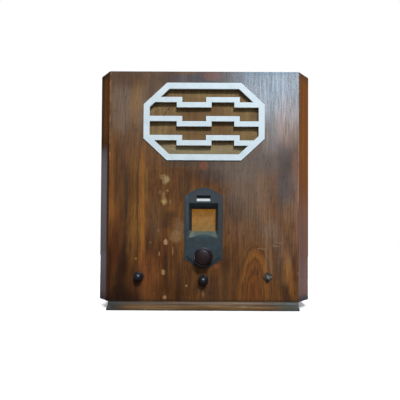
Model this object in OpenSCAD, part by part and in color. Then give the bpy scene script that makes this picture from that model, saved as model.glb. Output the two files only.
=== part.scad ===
// Upright wooden table radio with a stepped metal grille, a dial escutcheon and three controls.
// Millimetres. +Z is up, the front faces -Y, +X is to the right seen from the front.
// The origin is on the surface the set stands on, midway between the sides and between front and back.

/* [Cabinet] */
// Width of the flat front between the two cants
front_w = 352; // [348:1:370]
// Width of the cabinet over its sides
cabinet_w = 400; // [390:1:440]
// Depth of the cabinet from the front face to the back edges
cabinet_d = 262; // [240:1:320]
// Height of the cabinet body above the plinth
body_h = 427; // [395:1:470]
// Depth that each canted corner runs back
cant_d = 46; // [35:1:60]
// Thickness of the front panel
front_t = 9; // [8:0.5:12]
// Thickness of the canted corner boards
cant_t = 10; // [8:0.5:12]
// Thickness of the sides
side_t = 10; // [8:0.5:14]
// Thickness of the top
top_t = 10; // [8:0.5:14]
// Thickness of the bottom board
bottom_t = 12; // [9:0.5:15]
// Side of the triangular glue blocks
block_s = 14; // [10:1:18]
// Length of the glue blocks
block_len = 30; // [20:1:31]
// Distance of a glue block from the next joint of the boards
block_gap = 20; // [10:1:30]

/* [Plinth] */
// Height of the plinth
plinth_h = 14.5; // [12:0.5:24]
// How far the moulding reaches in front of the front panel
plinth_reach = 16; // [10:0.5:22]
// Height of the upright nose of the moulding
nose_h = 3.6; // [2:0.2:5]
// Depth of the moulding behind the face of the front panel
plinth_back = 20; // [14:1:30]
// Width of the runners and cross rails
runner_w = 20; // [15:1:25]
// Distance from the side of the cabinet in to the runners
runner_inset = 26; // [24:1:40]
// Distance from the back edge of the cabinet in to the rear rail
rail_inset = 10; // [2:1:17]

/* [Back] */
// Thickness of the perforated rear cover
cover_t = 4; // [3:0.5:6]
// Distance that the cover is sunk from the back edges
cover_sunk = 3; // [1:0.5:6]
// Gap round the edge of the cover
cover_gap = 1; // [0.5:0.1:2]
// Height of the open strip under the cover, where the leads plug in
cover_lift = 66; // [60:0.5:72]
// Side of the square battens behind the cover
batten_s = 12; // [10:1:16]
// Radius of a vent hole
vent_r = 4.5; // [3:0.5:6]
// Spacing of the vent holes
vent_pitch = 24; // [18:1:30]
// Number of vent holes across
vent_cols = 9; // [3:2:11]
// Rows of vent holes behind the loudspeaker
speaker_vents = 4; // [2:1:5]
// Rows of vent holes behind the valves
valve_vents = 3; // [1:1:4]
// Radius of the shank of a back screw
cover_screw_r = 1.6; // [1:0.1:2.2]
// Length of a back screw in the batten
cover_screw_bite = 8; // [6:1:12]

/* [Grille] */
// Drop of the grille's centre below the top of the cabinet
grille_drop = 93.6; // [93:0.2:100]
// Half of the grille's width
grille_half_w = 112.4; // [100:0.2:116]
// Half of the grille's height
grille_half_h = 72.2; // [66:0.2:76]
// Half of the length of its top and bottom edges
grille_flat = 69; // [60:0.5:75]
// Half of the length of its upright edges
grille_side = 31.8; // [26:0.2:36]
// Width of the rim
grille_rim = 11.2; // [9.5:0.1:13]
// Height of a bar
bar_t = 9.6; // [7:0.1:11]
// Spacing of the bars
bar_pitch = 35.5; // [30:0.5:38]
// Height of the middle bar's step above the grille's centre
bar_rise = 0.5; // [-2:0.1:2]
// Width of the upright link at a step
step_w = 10.2; // [8:0.1:12]
// Places of the first, second and third step across the grille
step_a = -45.8; // [-55:0.1:-38]
// Place of the second step
step_b = 8.7; // [0:0.1:16]
// Place of the third step
step_c = 61; // [52:0.1:66]
// Thickness of the grille plate
fret_t = 6; // [4:0.5:8]
// How far the grille stands proud of the front panel
fret_proud = 2.5; // [1:0.1:3.5]
// Width of the ledge that the grille rests on
fret_ledge = 6.5; // [4:0.5:8]
// Thickness of the grille cloth
cloth_t = 0.6; // [0.4:0.1:1]
// Margin of cloth round the opening
cloth_margin = 12; // [8:1:14]

/* [Escutcheon] */
// Height of the tuning control above the bottom of the cabinet body
tuning_h = 82.8; // [80:0.2:88]
// Half of the escutcheon's width
esc_half_w = 35.5; // [34:0.1:38]
// Height of the upper shoulders above the tuning control
esc_up = 117.2; // [116:0.1:119]
// Height of the arched top above the tuning control
esc_top = 127.6; // [124:0.1:130]
// Drop of the lower shoulders below the tuning control
esc_down = 8.6; // [7:0.1:10]
// Drop of the arched bottom below the tuning control
esc_bottom = 20.6; // [19.6:0.1:24]
// Half of the width of the arches at the shoulders
arch_half_w = 26; // [22:0.5:30]
// Fall of the shoulders from the arches to the sides
shoulder_fall = 5.6; // [3:0.1:7]
// Thickness of the flange
esc_flange_t = 1.6; // [1:0.1:2.4]
// Height of the raised face above the front panel
esc_face_t = 5; // [3.5:0.1:6]
// Width of the flange round the raised face
esc_rim = 4.6; // [3:0.1:5]
// Width of the dial window
win_w = 44; // [38:0.5:45]
// Height of the window's lower edge above the tuning control
win_low = 47; // [46:0.1:50]
// Height of the dial window
win_h = 41.2; // [36:0.1:42]
// Width of the sloped sides of the window recess
recess_side = 4.9; // [3:0.1:6]
// Height of the slope above the window
recess_top = 11; // [8:0.1:12]
// Height of the sloped sill below the window
recess_sill = 10.4; // [8:0.1:12]
// Depth of the recess behind the front face of the panel
recess_in = 4.5; // [2:0.1:5]
// Depth of the boxed back of the escutcheon behind the front face of the panel
box_in = 7; // [6.2:0.1:8]
// Half of the width of the boxed back
box_half_w = 27.6; // [26:0.1:28.5]
// Thickness of the window pane
pane_t = 1; // [0.5:0.1:1.5]
// Width of the marker slot
slot_w = 26; // [20:0.5:32]
// Height of the marker slot's lower edge above the tuning control
slot_low = 102.2; // [101.4:0.1:102.6]
// Height of the marker slot
slot_h = 10.8; // [8:0.1:11.4]
// Radius of the low boss round the tuning control
boss_r = 22; // [19:0.5:23]
// Height of the low boss
boss_t = 1; // [0.5:0.1:2]
// Radius of the fixing studs
stud_r = 1.5; // [1.2:0.1:1.6]

/* [Controls] */
// Distance of the side controls from the middle
side_control_x = 119; // [112:0.5:125]
// Height of the side controls above the bottom of the cabinet body
side_control_h = 46; // [43:0.5:55]
// Height of the middle control above the bottom of the cabinet body
wave_h = 39.8; // [36:0.2:44]
// Radius of a control spindle
spindle_r = 3; // [2.5:0.05:3.2]
// Radius of the threaded bush of a control
bush_r = 4.75; // [4.5:0.05:5.5]
// Thickness of a bush nut
nut_t = 2.5; // [2:0.1:3.5]
// Distance across the flats of a bush nut
nut_af = 13.5; // [12.5:0.1:15]
// Radius of the washer under the panel nut
washer_r = 8.4; // [7.5:0.1:9.5]
// Thickness of that washer
washer_t = 1; // [0.5:0.1:1.5]
// How far the bare spindle stands out of its bush
bare_out = 6.5; // [5:0.5:20]
// Width of the clip groove in the bare spindle
clip_w = 0.8; // [0.5:0.1:1.5]
// Radius of the tuning knob's skirt
tuning_knob_r = 17.6; // [15:0.1:18.5]
// Length of the tuning knob
tuning_knob_len = 19.5; // [16:0.5:24]
// Width of the tuning knob's skirt outside its cap
tuning_skirt_w = 3; // [2.4:0.2:4]
// Rounding of the tuning knob's front edge
tuning_edge_r = 4; // [2.5:0.5:5]
// Rise of the tuning knob's front
tuning_dome = 0.7; // [0.4:0.1:1.5]
// Radius of a small knob's skirt
small_knob_r = 9.4; // [8:0.1:11]
// Length of a small knob
small_knob_len = 17.5; // [14:0.5:20]
// Gap behind a knob
knob_gap = 1.2; // [0.6:0.1:2.5]
// Depth of the spindle hole in a knob
knob_bore = 13; // [10:0.5:13.5]
// Radius of the can of the volume control
volume_can_r = 16; // [13:0.5:18]
// Depth of the can of the volume control
volume_can_d = 18; // [14:0.5:24]
// Radius of the can of the tone control
tone_can_r = 14; // [11:0.5:16]
// Depth of the can of the tone control
tone_can_d = 20; // [14:0.5:24]

/* [Chassis] */
// Width of the chassis
chassis_w = 300; // [290:1:330]
// Distance from the back of the chassis to the back edges of the cabinet
chassis_back_gap = 35; // [28:1:40]
// Height of the chassis
chassis_h = 84; // [82:0.5:90]
// Gap between the front panel and the chassis
chassis_gap = 28; // [27:0.5:34]
// Thickness of the chassis sheet
sheet_t = 1.2; // [0.8:0.1:2]
// Width of the turned-in foot flanges
foot_w = 16; // [13:1:25]
// Height of a socket strip
strip_h = 20; // [16:1:24]
// Height of the sockets and the grommet above the floor
strip_up = 44; // [36:1:52]
// Distance of the aerial strip's middle in from the chassis end
strip_inset = 45; // [36:1:52]
// Distance between the middles of the two strips
strip_pitch = 73; // [66:1:80]
// Distance of the grommet in from the chassis end
grommet_inset = 50; // [30:1:60]
// Width of the flanges under the deck
flange_w = 10; // [6:1:14]
// Radius of a chassis bolt
bolt_r = 2.4; // [2:0.1:3]
// Radius of an aerial, earth or pick-up socket
socket_r = 2.05; // [1.9:0.05:2.2]
// Spacing of the two sockets on a strip
socket_pitch = 19; // [16:0.5:24]
// Thickness of a socket strip
strip_t = 8; // [6:0.5:10]
// Bore radius of the mains grommet
grommet_r = 3.5; // [3:0.1:4.5]
// Thickness of the grommet's rubber
grommet_t = 3; // [2:0.1:4]

/* [Tuning drive] */
// Sideways distance of the gang shaft from the tuning control
gang_off = 32; // [31:0.5:34]
// Height of the gang shaft above the tuning control
gang_rise = 63; // [61:0.5:64]
// Radius on the spindle at which its washers grip the dial disc
pinch_r = 6; // [5.8:0.1:6.6]
// Radial width of the grip
grip_w = 2.4; // [1.6:0.1:2.8]
// Thickness of a grip washer
grip_t = 1.2; // [0.8:0.1:1.6]
// Radius of the spindle between the washers
neck_r = 4; // [3.4:0.1:4.1]
// Distance from the front panel back to the dial disc
dial_gap = 13.4; // [13:0.1:14.5]
// Thickness of the dial disc
disc_t = 1; // [0.8:0.1:1.5]
// Radius of the celluloid scale
scale_r = 62; // [61.5:0.1:62.4]
// Thickness of the celluloid scale
scale_t = 0.8; // [0.5:0.1:1]
// Radius of the hub of the dial disc
hub_r = 7.5; // [6:0.1:8]
// Radius of the gang shaft
shaft_r = 4; // [3:0.1:4.5]
// Radius of the moving vanes
vane_r = 36; // [30:0.5:38]
// Thickness of a vane
vane_t = 0.8; // [0.5:0.1:1]
// Spacing of the moving vanes
vane_pitch = 3.2; // [2.8:0.1:3.4]
// Moving vanes in each section
vane_count = 9; // [4:1:9]
// Depth of one section of the gang
section_d = 38; // [34:0.5:40]
// Thickness of the gang's end plates
gang_plate_t = 2; // [1.5:0.1:3]

/* [Loudspeaker] */
// Radius of the loudspeaker's mounting ring
speaker_r = 80; // [78:0.5:82]
// Radius of the hole in the baffle
speaker_hole_r = 70; // [66:0.5:72]
// Radius of the mouth of the cone
cone_r = 62; // [58:0.5:63]
// Depth from the mouth of the cone to its neck
cone_d = 27; // [22:0.5:30]
// Thickness of the paper cone
cone_t = 0.8; // [0.5:0.1:1.2]
// Inner radius of the voice coil former
former_r = 12.4; // [12:0.1:14]
// Thickness of the voice coil and its former
former_t = 0.6; // [0.4:0.1:0.8]
// Thickness of the basket metal
basket_t = 1.5; // [1.2:0.1:2]
// Depth of the basket
basket_d = 38; // [36:0.5:44]
// Radius of the magnet pot
pot_r = 42; // [36:0.5:46]
// Length of the magnet pot
pot_len = 50; // [40:0.5:60]
// Clearance on each side of the voice coil
coil_gap = 0.9; // [0.4:0.1:1]
// Thickness of the baffle board
baffle_t = 8; // [6:0.5:10]
// Half of the width of the baffle board
baffle_half_w = 135; // [128:0.5:136]

/* [Valves] */
// Spacing of the valves
valve_pitch = 56; // [50:0.5:58]
// Number of valves
valve_count = 5; // [3:1:5]
// Radius of a valve base
valve_base_r = 16; // [14:0.2:17]
// Height of a valve base
valve_base_h = 30; // [25:0.5:35]
// Greatest radius of the glass
bulb_r = 23; // [19:0.2:24]
// Height of the glass
bulb_h = 72; // [60:0.5:80]
// Height of a valve socket
valve_socket_h = 6; // [4:0.5:8]
// Distance of the valves from the back of the chassis
valve_inset = 34; // [30:1:38]
// Radius of a coil can
can_r = 21; // [18:0.2:22]
// Rise of the dial lamp over the escutcheon's box
lamp_rise = 7.5; // [6.5:0.5:10]
// Depth of the wave-change switch behind the chassis front
switch_d = 34; // [30:1:38]
// Width of its bracket
switch_w = 36; // [30:1:40]
// Height of its bracket
switch_plate_h = 20; // [16:1:24]
// Thickness of its bracket
switch_plate_t = 4; // [2:0.5:4]
// Radius of its wafers
wafer_r = 17; // [14:0.5:18]
// Height of a coil can
can_h = 78; // [60:1:90]
// Place of the coil cans left of the middle
can_left = 120; // [116:1:126]
// Place of the coil can right of the middle
can_right = 36; // [34:1:42]
// Distance of the front coil can from the front of the chassis
can_front = 24; // [22:1:30]
// Distance of the other coil cans in front of the valves
can_gap = 58; // [50:1:64]

/* [Transformers and small parts] */
// Width of the mains transformer
mains_w = 70; // [60:1:74]
// Depth of the mains transformer
mains_depth = 76; // [60:1:78]
// Height of the mains transformer
mains_h = 76; // [60:1:90]
// Place of the mains transformer right of the middle
mains_x = 106; // [104:1:112]
// Distance of the mains transformer's middle from the front of the chassis
mains_y = 66; // [60:1:70]
// Width of the output transformer
output_w = 44; // [36:1:46]
// Depth of the output transformer
output_depth = 30; // [24:1:34]
// Height of the output transformer
output_h = 34; // [28:1:38]
// Width of the block condenser
block_w = 34; // [24:1:40]
// Depth of the block condenser
block_d = 60; // [40:1:64]
// Height of the block condenser
block_h = 42; // [30:1:50]
// Length and width of the tag board
tag_w = 80; // [70:1:100]
// Depth of the tag board
tag_d = 60; // [50:1:70]
// Thickness of the tag board
tag_t = 3; // [2:0.5:4]
// Radius of a tubular condenser
tube_r = 4; // [3:0.2:5]
// Radius of a resistor
resistor_r = 2.8; // [2:0.2:3.5]
// Length of a tubular condenser or resistor
tube_len = 46; // [30:1:48]

/* [Fits] */
// Radial clearance of a spindle or shaft that turns in its bearing
run_fit = 0.05; // [0.02:0.01:0.08]
// Radial clearance of a fixed pin, bolt or tube in its hole
hole_fit = 0.1; // [0.06:0.01:0.2]
// Clearance round a piece let into another
slip_fit = 0.3; // [0.2:0.05:0.5]

/* [Hidden] */
$fn = 64;

// Main planes of the cabinet
front_y = -cabinet_d / 2;
back_y = cabinet_d / 2;
in_y = front_y + front_t;
in_x = cabinet_w / 2 - side_t;
base_z = plinth_h;
top_z = base_z + body_h;
floor_z = base_z + bottom_t;
ceil_z = top_z - top_t;

// Plan of a canted corner, on the right: along holds the way back, inward the way in
cant_w = (cabinet_w - front_w) / 2;
cant_len = norm([cant_w, cant_d]);
along = [cant_w, cant_d] / cant_len;
inward = [-cant_d, cant_w] / cant_len;
corner_front = [front_w / 2, front_y];
corner_side = [cabinet_w / 2, front_y + cant_d];
inner_start = corner_front + cant_t * inward;
inner_front = inner_start + along * (in_y - inner_start[1]) / along[1];
inner_side = inner_start + along * (in_x - inner_start[0]) / along[0];

// Heights and planes of the controls and the gear inside
grille_z = top_z - grille_drop;
tuning_z = base_z + tuning_h;
wave_z = base_z + wave_h;
side_control_z = base_z + side_control_h;
chassis_y = in_y + chassis_gap;
chassis_back = back_y - chassis_back_gap;
chassis_d = chassis_back - chassis_y;
deck_z = floor_z + chassis_h;
baffle_y = in_y + cloth_t;
speaker_y = baffle_y + baffle_t;
cover_y = back_y - cover_sunk - cover_t;
batten_y = cover_y - batten_s;

// Dial and gang
shaft_x = -gang_off;
shaft_z = tuning_z + gang_rise;
disc_r = norm([gang_off, gang_rise]) - pinch_r + grip_w / 2;
grip_r = pinch_r + grip_w / 2;
grip_gap = 0.05;
dial_y = in_y + dial_gap;
hub_y = dial_y - 3.4;
hub_len = 8;
gang_y = chassis_y + 10;
gang_len = 2 * section_d + 3 * gang_plate_t;
gang_half_w = vane_r + 6;
stator_z = shaft_z - vane_r - 2;
vane_start = (section_d - (vane_count - 1) * vane_pitch) / 2;

// Knobs and bushes
esc_face_y = front_y - esc_face_t;
tuning_knob_y = esc_face_y - boss_t - knob_gap;
small_knob_y = front_y - knob_gap;
bush_out = sheet_t + nut_t + 2.5;
panel_bush_out = washer_t + nut_t + 1.5;
panel_hole_r = spindle_r + 1.5;

// Chassis details
foot_bolt_x = chassis_w / 2 - 20;
foot_bolt_y = [chassis_y + foot_w / 2 + 1, chassis_back - foot_w / 2 - 1];
strip_w = socket_pitch + 36;
strip_z = floor_z + strip_up;
strip_x = [strip_inset - chassis_w / 2, strip_inset + strip_pitch - chassis_w / 2];
grommet_x = chassis_w / 2 - grommet_inset;
butt_gap = 0.1;

// A drawing in X and Z drawn out along +Y
module along_y(y0, len) {
    translate([0, y0 + len, 0])
        rotate([90, 0, 0])
            linear_extrude(len)
                children();
}

// A round bar along +Y
module rod_y(x, z, y0, len, r) {
    translate([x, y0, z])
        rotate([-90, 0, 0])
            cylinder(h = len, r = r);
}

// A shape turned about a line along Y: outline points are radius and distance along +Y
module turned_y(x, z, y0, outline) {
    translate([x, y0, z])
        rotate([-90, 0, 0])
            rotate_extrude()
                polygon(outline);
}

// The same, with the outline's distances towards the front
module turned_front(x, z, y0, outline) {
    translate([x, y0, z])
        rotate([90, 0, 0])
            rotate_extrude()
                polygon(outline);
}

// A hexagonal nut along +Y with a round hole
module nut_y(x, z, y0, len, flats, hole) {
    difference() {
        translate([x, y0, z])
            rotate([-90, 0, 0])
                cylinder(h = len, r = flats / sqrt(3), $fn = 6);
        rod_y(x, z, y0 - 1, len + 2, hole);
    }
}

// A slotted screw whose head is at y0 and whose shank runs in direction dir along Y
module slotted_screw(x, z, y0, dir, shank, len) {
    head_r = shank * 2;
    head_t = shank * 1.2;
    slot = shank * 0.5;
    difference() {
        translate([x, y0, z])
            rotate([-90 * dir, 0, 0])
                rotate_extrude()
                    polygon([[0, -head_t], [head_r * 0.6, -head_t * 0.92], [head_r * 0.9, -head_t * 0.6],
                        [head_r, 0], [shank, 0], [shank, len - shank], [0, len]]);
        translate([x - head_r - 1, y0 - dir * (head_t + 1) - (dir > 0 ? 0 : 1 + slot), z - slot / 2])
            cube([2 * head_r + 2, 1 + slot, slot]);
    }
}

// Points of a circular arc
function arc(cx, cy, r, from, to, steps) =
    [for (i = [0:steps]) let (a = from + (to - from) * i / steps) [cx + r * cos(a), cy + r * sin(a)]];

// The grille's eight-sided outline drawn in by d
function octagon(d) =
    let (rise = grille_half_h - grille_side, run = grille_half_w - grille_flat, side = norm([rise, run]),
        a = rise / side, b = run / side, c = a * grille_flat + b * grille_half_h - d,
        h = grille_half_h - d, w = grille_half_w - d, x = (c - b * h) / a, z = (c - a * w) / b)
    [[x, h], [w, z], [w, -z], [x, -h], [-x, -h], [-w, -z], [-w, z], [-x, h]];

module octagon_plate(d, y0, len) {
    along_y(y0, len)
        translate([0, grille_z])
            polygon(octagon(d));
}

// Cabinet boards
module front_panel() {
    color("saddlebrown")
        difference() {
            translate([0, 0, base_z])
                linear_extrude(body_h)
                    polygon([corner_front, inner_front, [-inner_front[0], inner_front[1]],
                        [-corner_front[0], corner_front[1]]]);
            octagon_plate(-slip_fit, front_y - 1, 1 + fret_t - fret_proud);
            octagon_plate(fret_ledge, front_y - 1, front_t + 2);
            translate([-box_half_w - slip_fit, front_y - 1, tuning_z + box_low - slip_fit])
                cube([2 * (box_half_w + slip_fit), front_t + 2, box_high - box_low + 2 * slip_fit]);
            rod_y(0, tuning_z, front_y - 1, front_t + 2, panel_hole_r);
            rod_y(0, wave_z, front_y - 1, front_t + 2, panel_hole_r);
            rod_y(-side_control_x, side_control_z, front_y - 1, front_t + 2, panel_hole_r);
            rod_y(side_control_x, side_control_z, front_y - 1, front_t + 2, bush_r + hole_fit);
            for (p = stud_places)
                rod_y(p[0], p[1], front_y - 1, front_t + 2, stud_r + hole_fit);
            for (p = baffle_screw_places)
                rod_y(p[0], p[1], in_y - baffle_bite - 0.5, baffle_bite + 1, baffle_screw_r + hole_fit);
        }
}

module cant() {
    translate([0, 0, base_z])
        linear_extrude(body_h)
            polygon([corner_front, corner_side, inner_side, inner_front]);
}

module right_cant() {
    color("sienna")
        cant();
}

module left_cant() {
    color("sienna")
        mirror([1, 0, 0])
            cant();
}

module side() {
    translate([0, 0, base_z])
        linear_extrude(body_h)
            polygon([corner_side, [cabinet_w / 2, back_y], [in_x, back_y], inner_side]);
}

module right_side() {
    color("sienna")
        side();
}

module left_side() {
    color("sienna")
        mirror([1, 0, 0])
            side();
}

module inner_plan() {
    polygon([inner_front, inner_side, [in_x, back_y], [-in_x, back_y], [-inner_side[0], inner_side[1]],
        [-inner_front[0], inner_front[1]]]);
}

module top_panel() {
    color("saddlebrown")
        translate([0, 0, ceil_z])
            linear_extrude(top_t)
                inner_plan();
}

module bottom_board() {
    color("burlywood")
        difference() {
            translate([0, 0, base_z])
                linear_extrude(bottom_t)
                    inner_plan();
            for (x = [-foot_bolt_x, foot_bolt_x], y = foot_bolt_y)
                translate([x, y, base_z - 1])
                    cylinder(h = bottom_t + 2, r = bolt_r + hole_fit);
        }
}

// Triangular blocks glued into the corners, along X at the front and along Y at the sides
module glue_block(len) {
    linear_extrude(len)
        polygon([[0, 0], [block_s, 0], [0, block_s]]);
}

module glue_blocks() {
    front_x = inner_front[0] - 1 - block_len;
    for (m = [0, 1], up = [0, 1])
        mirror([m, 0, 0])
            translate([0, 0, up ? ceil_z : floor_z])
                mirror([0, 0, up]) {
                    translate([front_x, in_y, 0])
                        rotate([90, 0, 90])
                            glue_block(block_len);
                    for (y = [inner_side[1] + block_gap, back_y - rail_inset - 3 * block_gap - block_len])
                        translate([in_x, y, 0])
                            rotate([90, 0, 180])
                                glue_block(block_len);
                }
}

// Two upright battens with a third between them under the top
module back_battens() {
    difference() {
        union() {
            for (x = [-in_x, in_x - batten_s])
                translate([x, batten_y, floor_z])
                    cube([batten_s, batten_s, ceil_z - floor_z]);
            translate([-in_x + batten_s + butt_gap, batten_y, ceil_z - batten_s])
                cube([2 * (in_x - batten_s - butt_gap), batten_s, batten_s]);
        }
        for (p = cover_screw_places)
            rod_y(p[0], p[1], batten_y + 2, batten_s, cover_screw_r + hole_fit);
    }
}

module battens_and_blocks() {
    color("burlywood") {
        glue_blocks();
        back_battens();
    }
}

// Cove moulding under the front, as long as the flat front is wide
module plinth_moulding() {
    cove_h = plinth_h - nose_h - 0.4;
    cove_y = plinth_reach - 0.8;
    color("dimgray")
        translate([-front_w / 2, 0, 0])
            rotate([90, 0, 90])
                linear_extrude(front_w)
                    polygon(concat([[front_y + plinth_back, plinth_h], [front_y + plinth_back, 0],
                        [front_y - plinth_reach, 0], [front_y - plinth_reach, nose_h]],
                        [for (a = [90:-10:0])
                            [front_y - cove_y * (1 - cos(a)), plinth_h - cove_h * sin(a)]]));
}

module plinth_runners() {
    run_x = cabinet_w / 2 - runner_inset - runner_w;
    run_y = front_y + plinth_back;
    run_back = back_y - rail_inset;
    color("burlywood") {
        for (x = [-run_x - runner_w, run_x])
            translate([x, run_y, 0])
                cube([runner_w, run_back - run_y, plinth_h]);
        for (y = [-runner_w / 2, run_back - runner_w])
            translate([-run_x + butt_gap, y, 0])
                cube([2 * (run_x - butt_gap), runner_w, plinth_h]);
    }
}

// Rear cover with vent holes; the strip under it is open for the leads
cover_low = floor_z + cover_lift;
cover_high = ceil_z - cover_gap;
cover_half_w = in_x - cover_gap;
cover_edge = batten_s / 2 - cover_gap;
cover_screw_places = concat(
    [for (x = [-1, 1], i = [0:2]) [x * (cover_half_w - cover_edge),
        cover_low + 30 + i * (cover_high - cover_low - 60) / 2]],
    [for (x = [-90, 90]) [x, cover_high - cover_edge]]);

module vent_field(centre_z, rows) {
    for (i = [0:rows - 1], j = [0:vent_cols - 1])
        rod_y((j - (vent_cols - 1) / 2) * vent_pitch + (i % 2 - 0.5) * vent_pitch / 2,
            centre_z + (i - (rows - 1) / 2) * vent_pitch * 0.85, cover_y - 1, cover_t + 2, vent_r);
}

module rear_cover() {
    color("peru")
        difference() {
            translate([-cover_half_w, cover_y, cover_low])
                cube([2 * cover_half_w, cover_t, cover_high - cover_low]);
            vent_field(grille_z, speaker_vents);
            vent_field(deck_z + valve_socket_h + valve_base_h + bulb_h / 2, valve_vents);
            for (p = cover_screw_places)
                rod_y(p[0], p[1], cover_y - 1, cover_t + 2, cover_screw_r + hole_fit);
        }
}

module rear_cover_screws() {
    color("silver")
        for (p = cover_screw_places)
            slotted_screw(p[0], p[1], cover_y + cover_t, -1, cover_screw_r, cover_t + cover_screw_bite);
}

// Stepped grille plate: a rim and three bars that run high, low, high, low from the left
module bar_piece(from, to, low) {
    along_y(front_y - fret_proud, fret_t)
        translate([from, low])
            square([to - from, bar_t]);
}

module grille_fret() {
    h = step_w / 2;
    color("gainsboro")
        union() {
            difference() {
                octagon_plate(0, front_y - fret_proud, fret_t);
                octagon_plate(grille_rim, front_y - fret_proud - 1, fret_t + 2);
            }
            intersection() {
                octagon_plate(grille_rim / 2, front_y - fret_proud, fret_t);
                union()
                    for (k = [-1:1]) {
                        edge = grille_z + bar_rise + k * bar_pitch;
                        bar_piece(-grille_half_w, step_a + h, edge);
                        bar_piece(step_a - h, step_b + h, edge - bar_t);
                        bar_piece(step_b - h, step_c + h, edge);
                        bar_piece(step_c - h, grille_half_w, edge - bar_t);
                    }
            }
        }
}

cloth_half_w = grille_half_w - fret_ledge + cloth_margin;
cloth_half_h = grille_half_h - fret_ledge + cloth_margin;

module grille_cloth() {
    color("darkgoldenrod")
        translate([-cloth_half_w, in_y, grille_z - cloth_half_h])
            cube([2 * cloth_half_w, cloth_t, 2 * cloth_half_h]);
}

// Loudspeaker baffle and its screws
baffle_screw_r = 1.8;
baffle_bite = 4;
baffle_half_h = min(speaker_r + 2.5, ceil_z - grille_z - 0.5);
baffle_low = grille_z - speaker_r - 6;
baffle_screw_places = [for (x = [-1, 1], z = [baffle_low + 5, grille_z + baffle_half_h - 5])
    [x * (baffle_half_w - 6), z]];
speaker_screw_places = [for (a = [45:90:315])
    [(speaker_r - 4) * cos(a), grille_z + (speaker_r - 4) * sin(a)]];

module speaker_baffle() {
    color("tan")
        difference() {
            translate([-baffle_half_w, baffle_y, baffle_low])
                cube([2 * baffle_half_w, baffle_t, grille_z + baffle_half_h - baffle_low]);
            rod_y(0, grille_z, baffle_y - 1, baffle_t + 2, speaker_hole_r);
            for (p = baffle_screw_places)
                rod_y(p[0], p[1], baffle_y - 1, baffle_t + 2, baffle_screw_r + hole_fit);
            for (p = speaker_screw_places)
                rod_y(p[0], p[1], baffle_y + 1, baffle_t, baffle_screw_r + hole_fit);
        }
}

// Long screws through the baffle and short ones through the loudspeaker's ring
module baffle_screws() {
    color("silver") {
        for (p = baffle_screw_places)
            slotted_screw(p[0], p[1], speaker_y, -1, baffle_screw_r, baffle_t + cloth_t + baffle_bite);
        for (p = speaker_screw_places)
            slotted_screw(p[0], p[1], speaker_y + basket_t, -1, baffle_screw_r, basket_t + baffle_t - 2);
    }
}

// Loudspeaker: distances in its outlines run back from the baffle
wall_r = speaker_r - 10;
ring_in_r = cone_r + 4;
neck_d = basket_t + cone_d;
back_r = pot_r - 1;
plate_t = 6;
pot_wall = 5;
pot_floor = 7;
pole_r = former_r - coil_gap;
plate_hole_r = former_r + former_t + coil_gap;

module speaker_basket() {
    lean = (wall_r - back_r) / (basket_d - basket_t);
    windows = 4;
    color("darkslategray")
        difference() {
            union() {
                turned_y(0, grille_z, speaker_y, [[ring_in_r, 0], [speaker_r, 0], [speaker_r, basket_t],
                    [ring_in_r, basket_t]]);
                turned_y(0, grille_z, speaker_y, [[wall_r, basket_t], [wall_r + basket_t, basket_t],
                    [back_r + basket_t, basket_d], [back_r, basket_d]]);
                turned_y(0, grille_z, speaker_y + basket_d, [[plate_hole_r + 6, -basket_t],
                    [back_r + lean * basket_t, -basket_t], [back_r, 0], [plate_hole_r + 6, 0]]);
            }
            for (i = [0:windows - 1])
                translate([0, speaker_y + 0.28 * basket_d, grille_z])
                    rotate([0, i * 360 / windows, 0])
                        translate([back_r * 0.5, 0, -back_r * 0.45])
                            cube([speaker_r, basket_d * 0.5, back_r * 0.9]);
            for (p = speaker_screw_places)
                rod_y(p[0], p[1], speaker_y - 1, basket_t + 2, baffle_screw_r + hole_fit);
        }
}

module speaker_surround() {
    roll = 2;
    color("peru")
        turned_y(0, grille_z, speaker_y + basket_t, [[cone_r, 0], [cone_r + 2, 0], [cone_r + 2.6, roll],
            [cone_r + 4, roll], [cone_r + 4.6, 0], [wall_r - 0.5, 0], [wall_r - 0.5, 0.6],
            [cone_r + 5.1, 0.6], [cone_r + 4.5, roll + 0.6], [cone_r + 2.1, roll + 0.6],
            [cone_r + 1.5, 0.6], [cone_r, 0.6]]);
}

module speaker_cone() {
    outer = former_r + former_t;
    color("dimgray")
        turned_y(0, grille_z, speaker_y + basket_t, [[cone_r, 0], [cone_r, cone_t], [cone_r - 2, cone_t],
            [outer, cone_d + cone_t], [outer, cone_d - cone_t * 1.5], [cone_r - 3, 0]]);
}

module voice_coil() {
    reach = basket_d - neck_d + plate_t - 1;
    color("chocolate")
        turned_y(0, grille_z, speaker_y + neck_d - 2, [[former_r, 0], [former_r + former_t, 0],
            [former_r + former_t, reach + 2], [former_r, reach + 2]]);
}

// Slotted centring disc inside the voice coil, held on a stud of the pole
spider_stud_r = 2.5;

module speaker_spider() {
    color("saddlebrown")
        difference() {
            turned_y(0, grille_z, speaker_y + neck_d - 1.2, [[spider_stud_r, 0], [former_r, 0],
                [former_r, 0.8], [spider_stud_r, 0.8]]);
            for (i = [0:2])
                translate([0, speaker_y + neck_d - 2, grille_z])
                    rotate([0, i * 120, 0])
                        translate([5, 0, -3])
                            cube([4.5, 3, 6]);
        }
}

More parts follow.
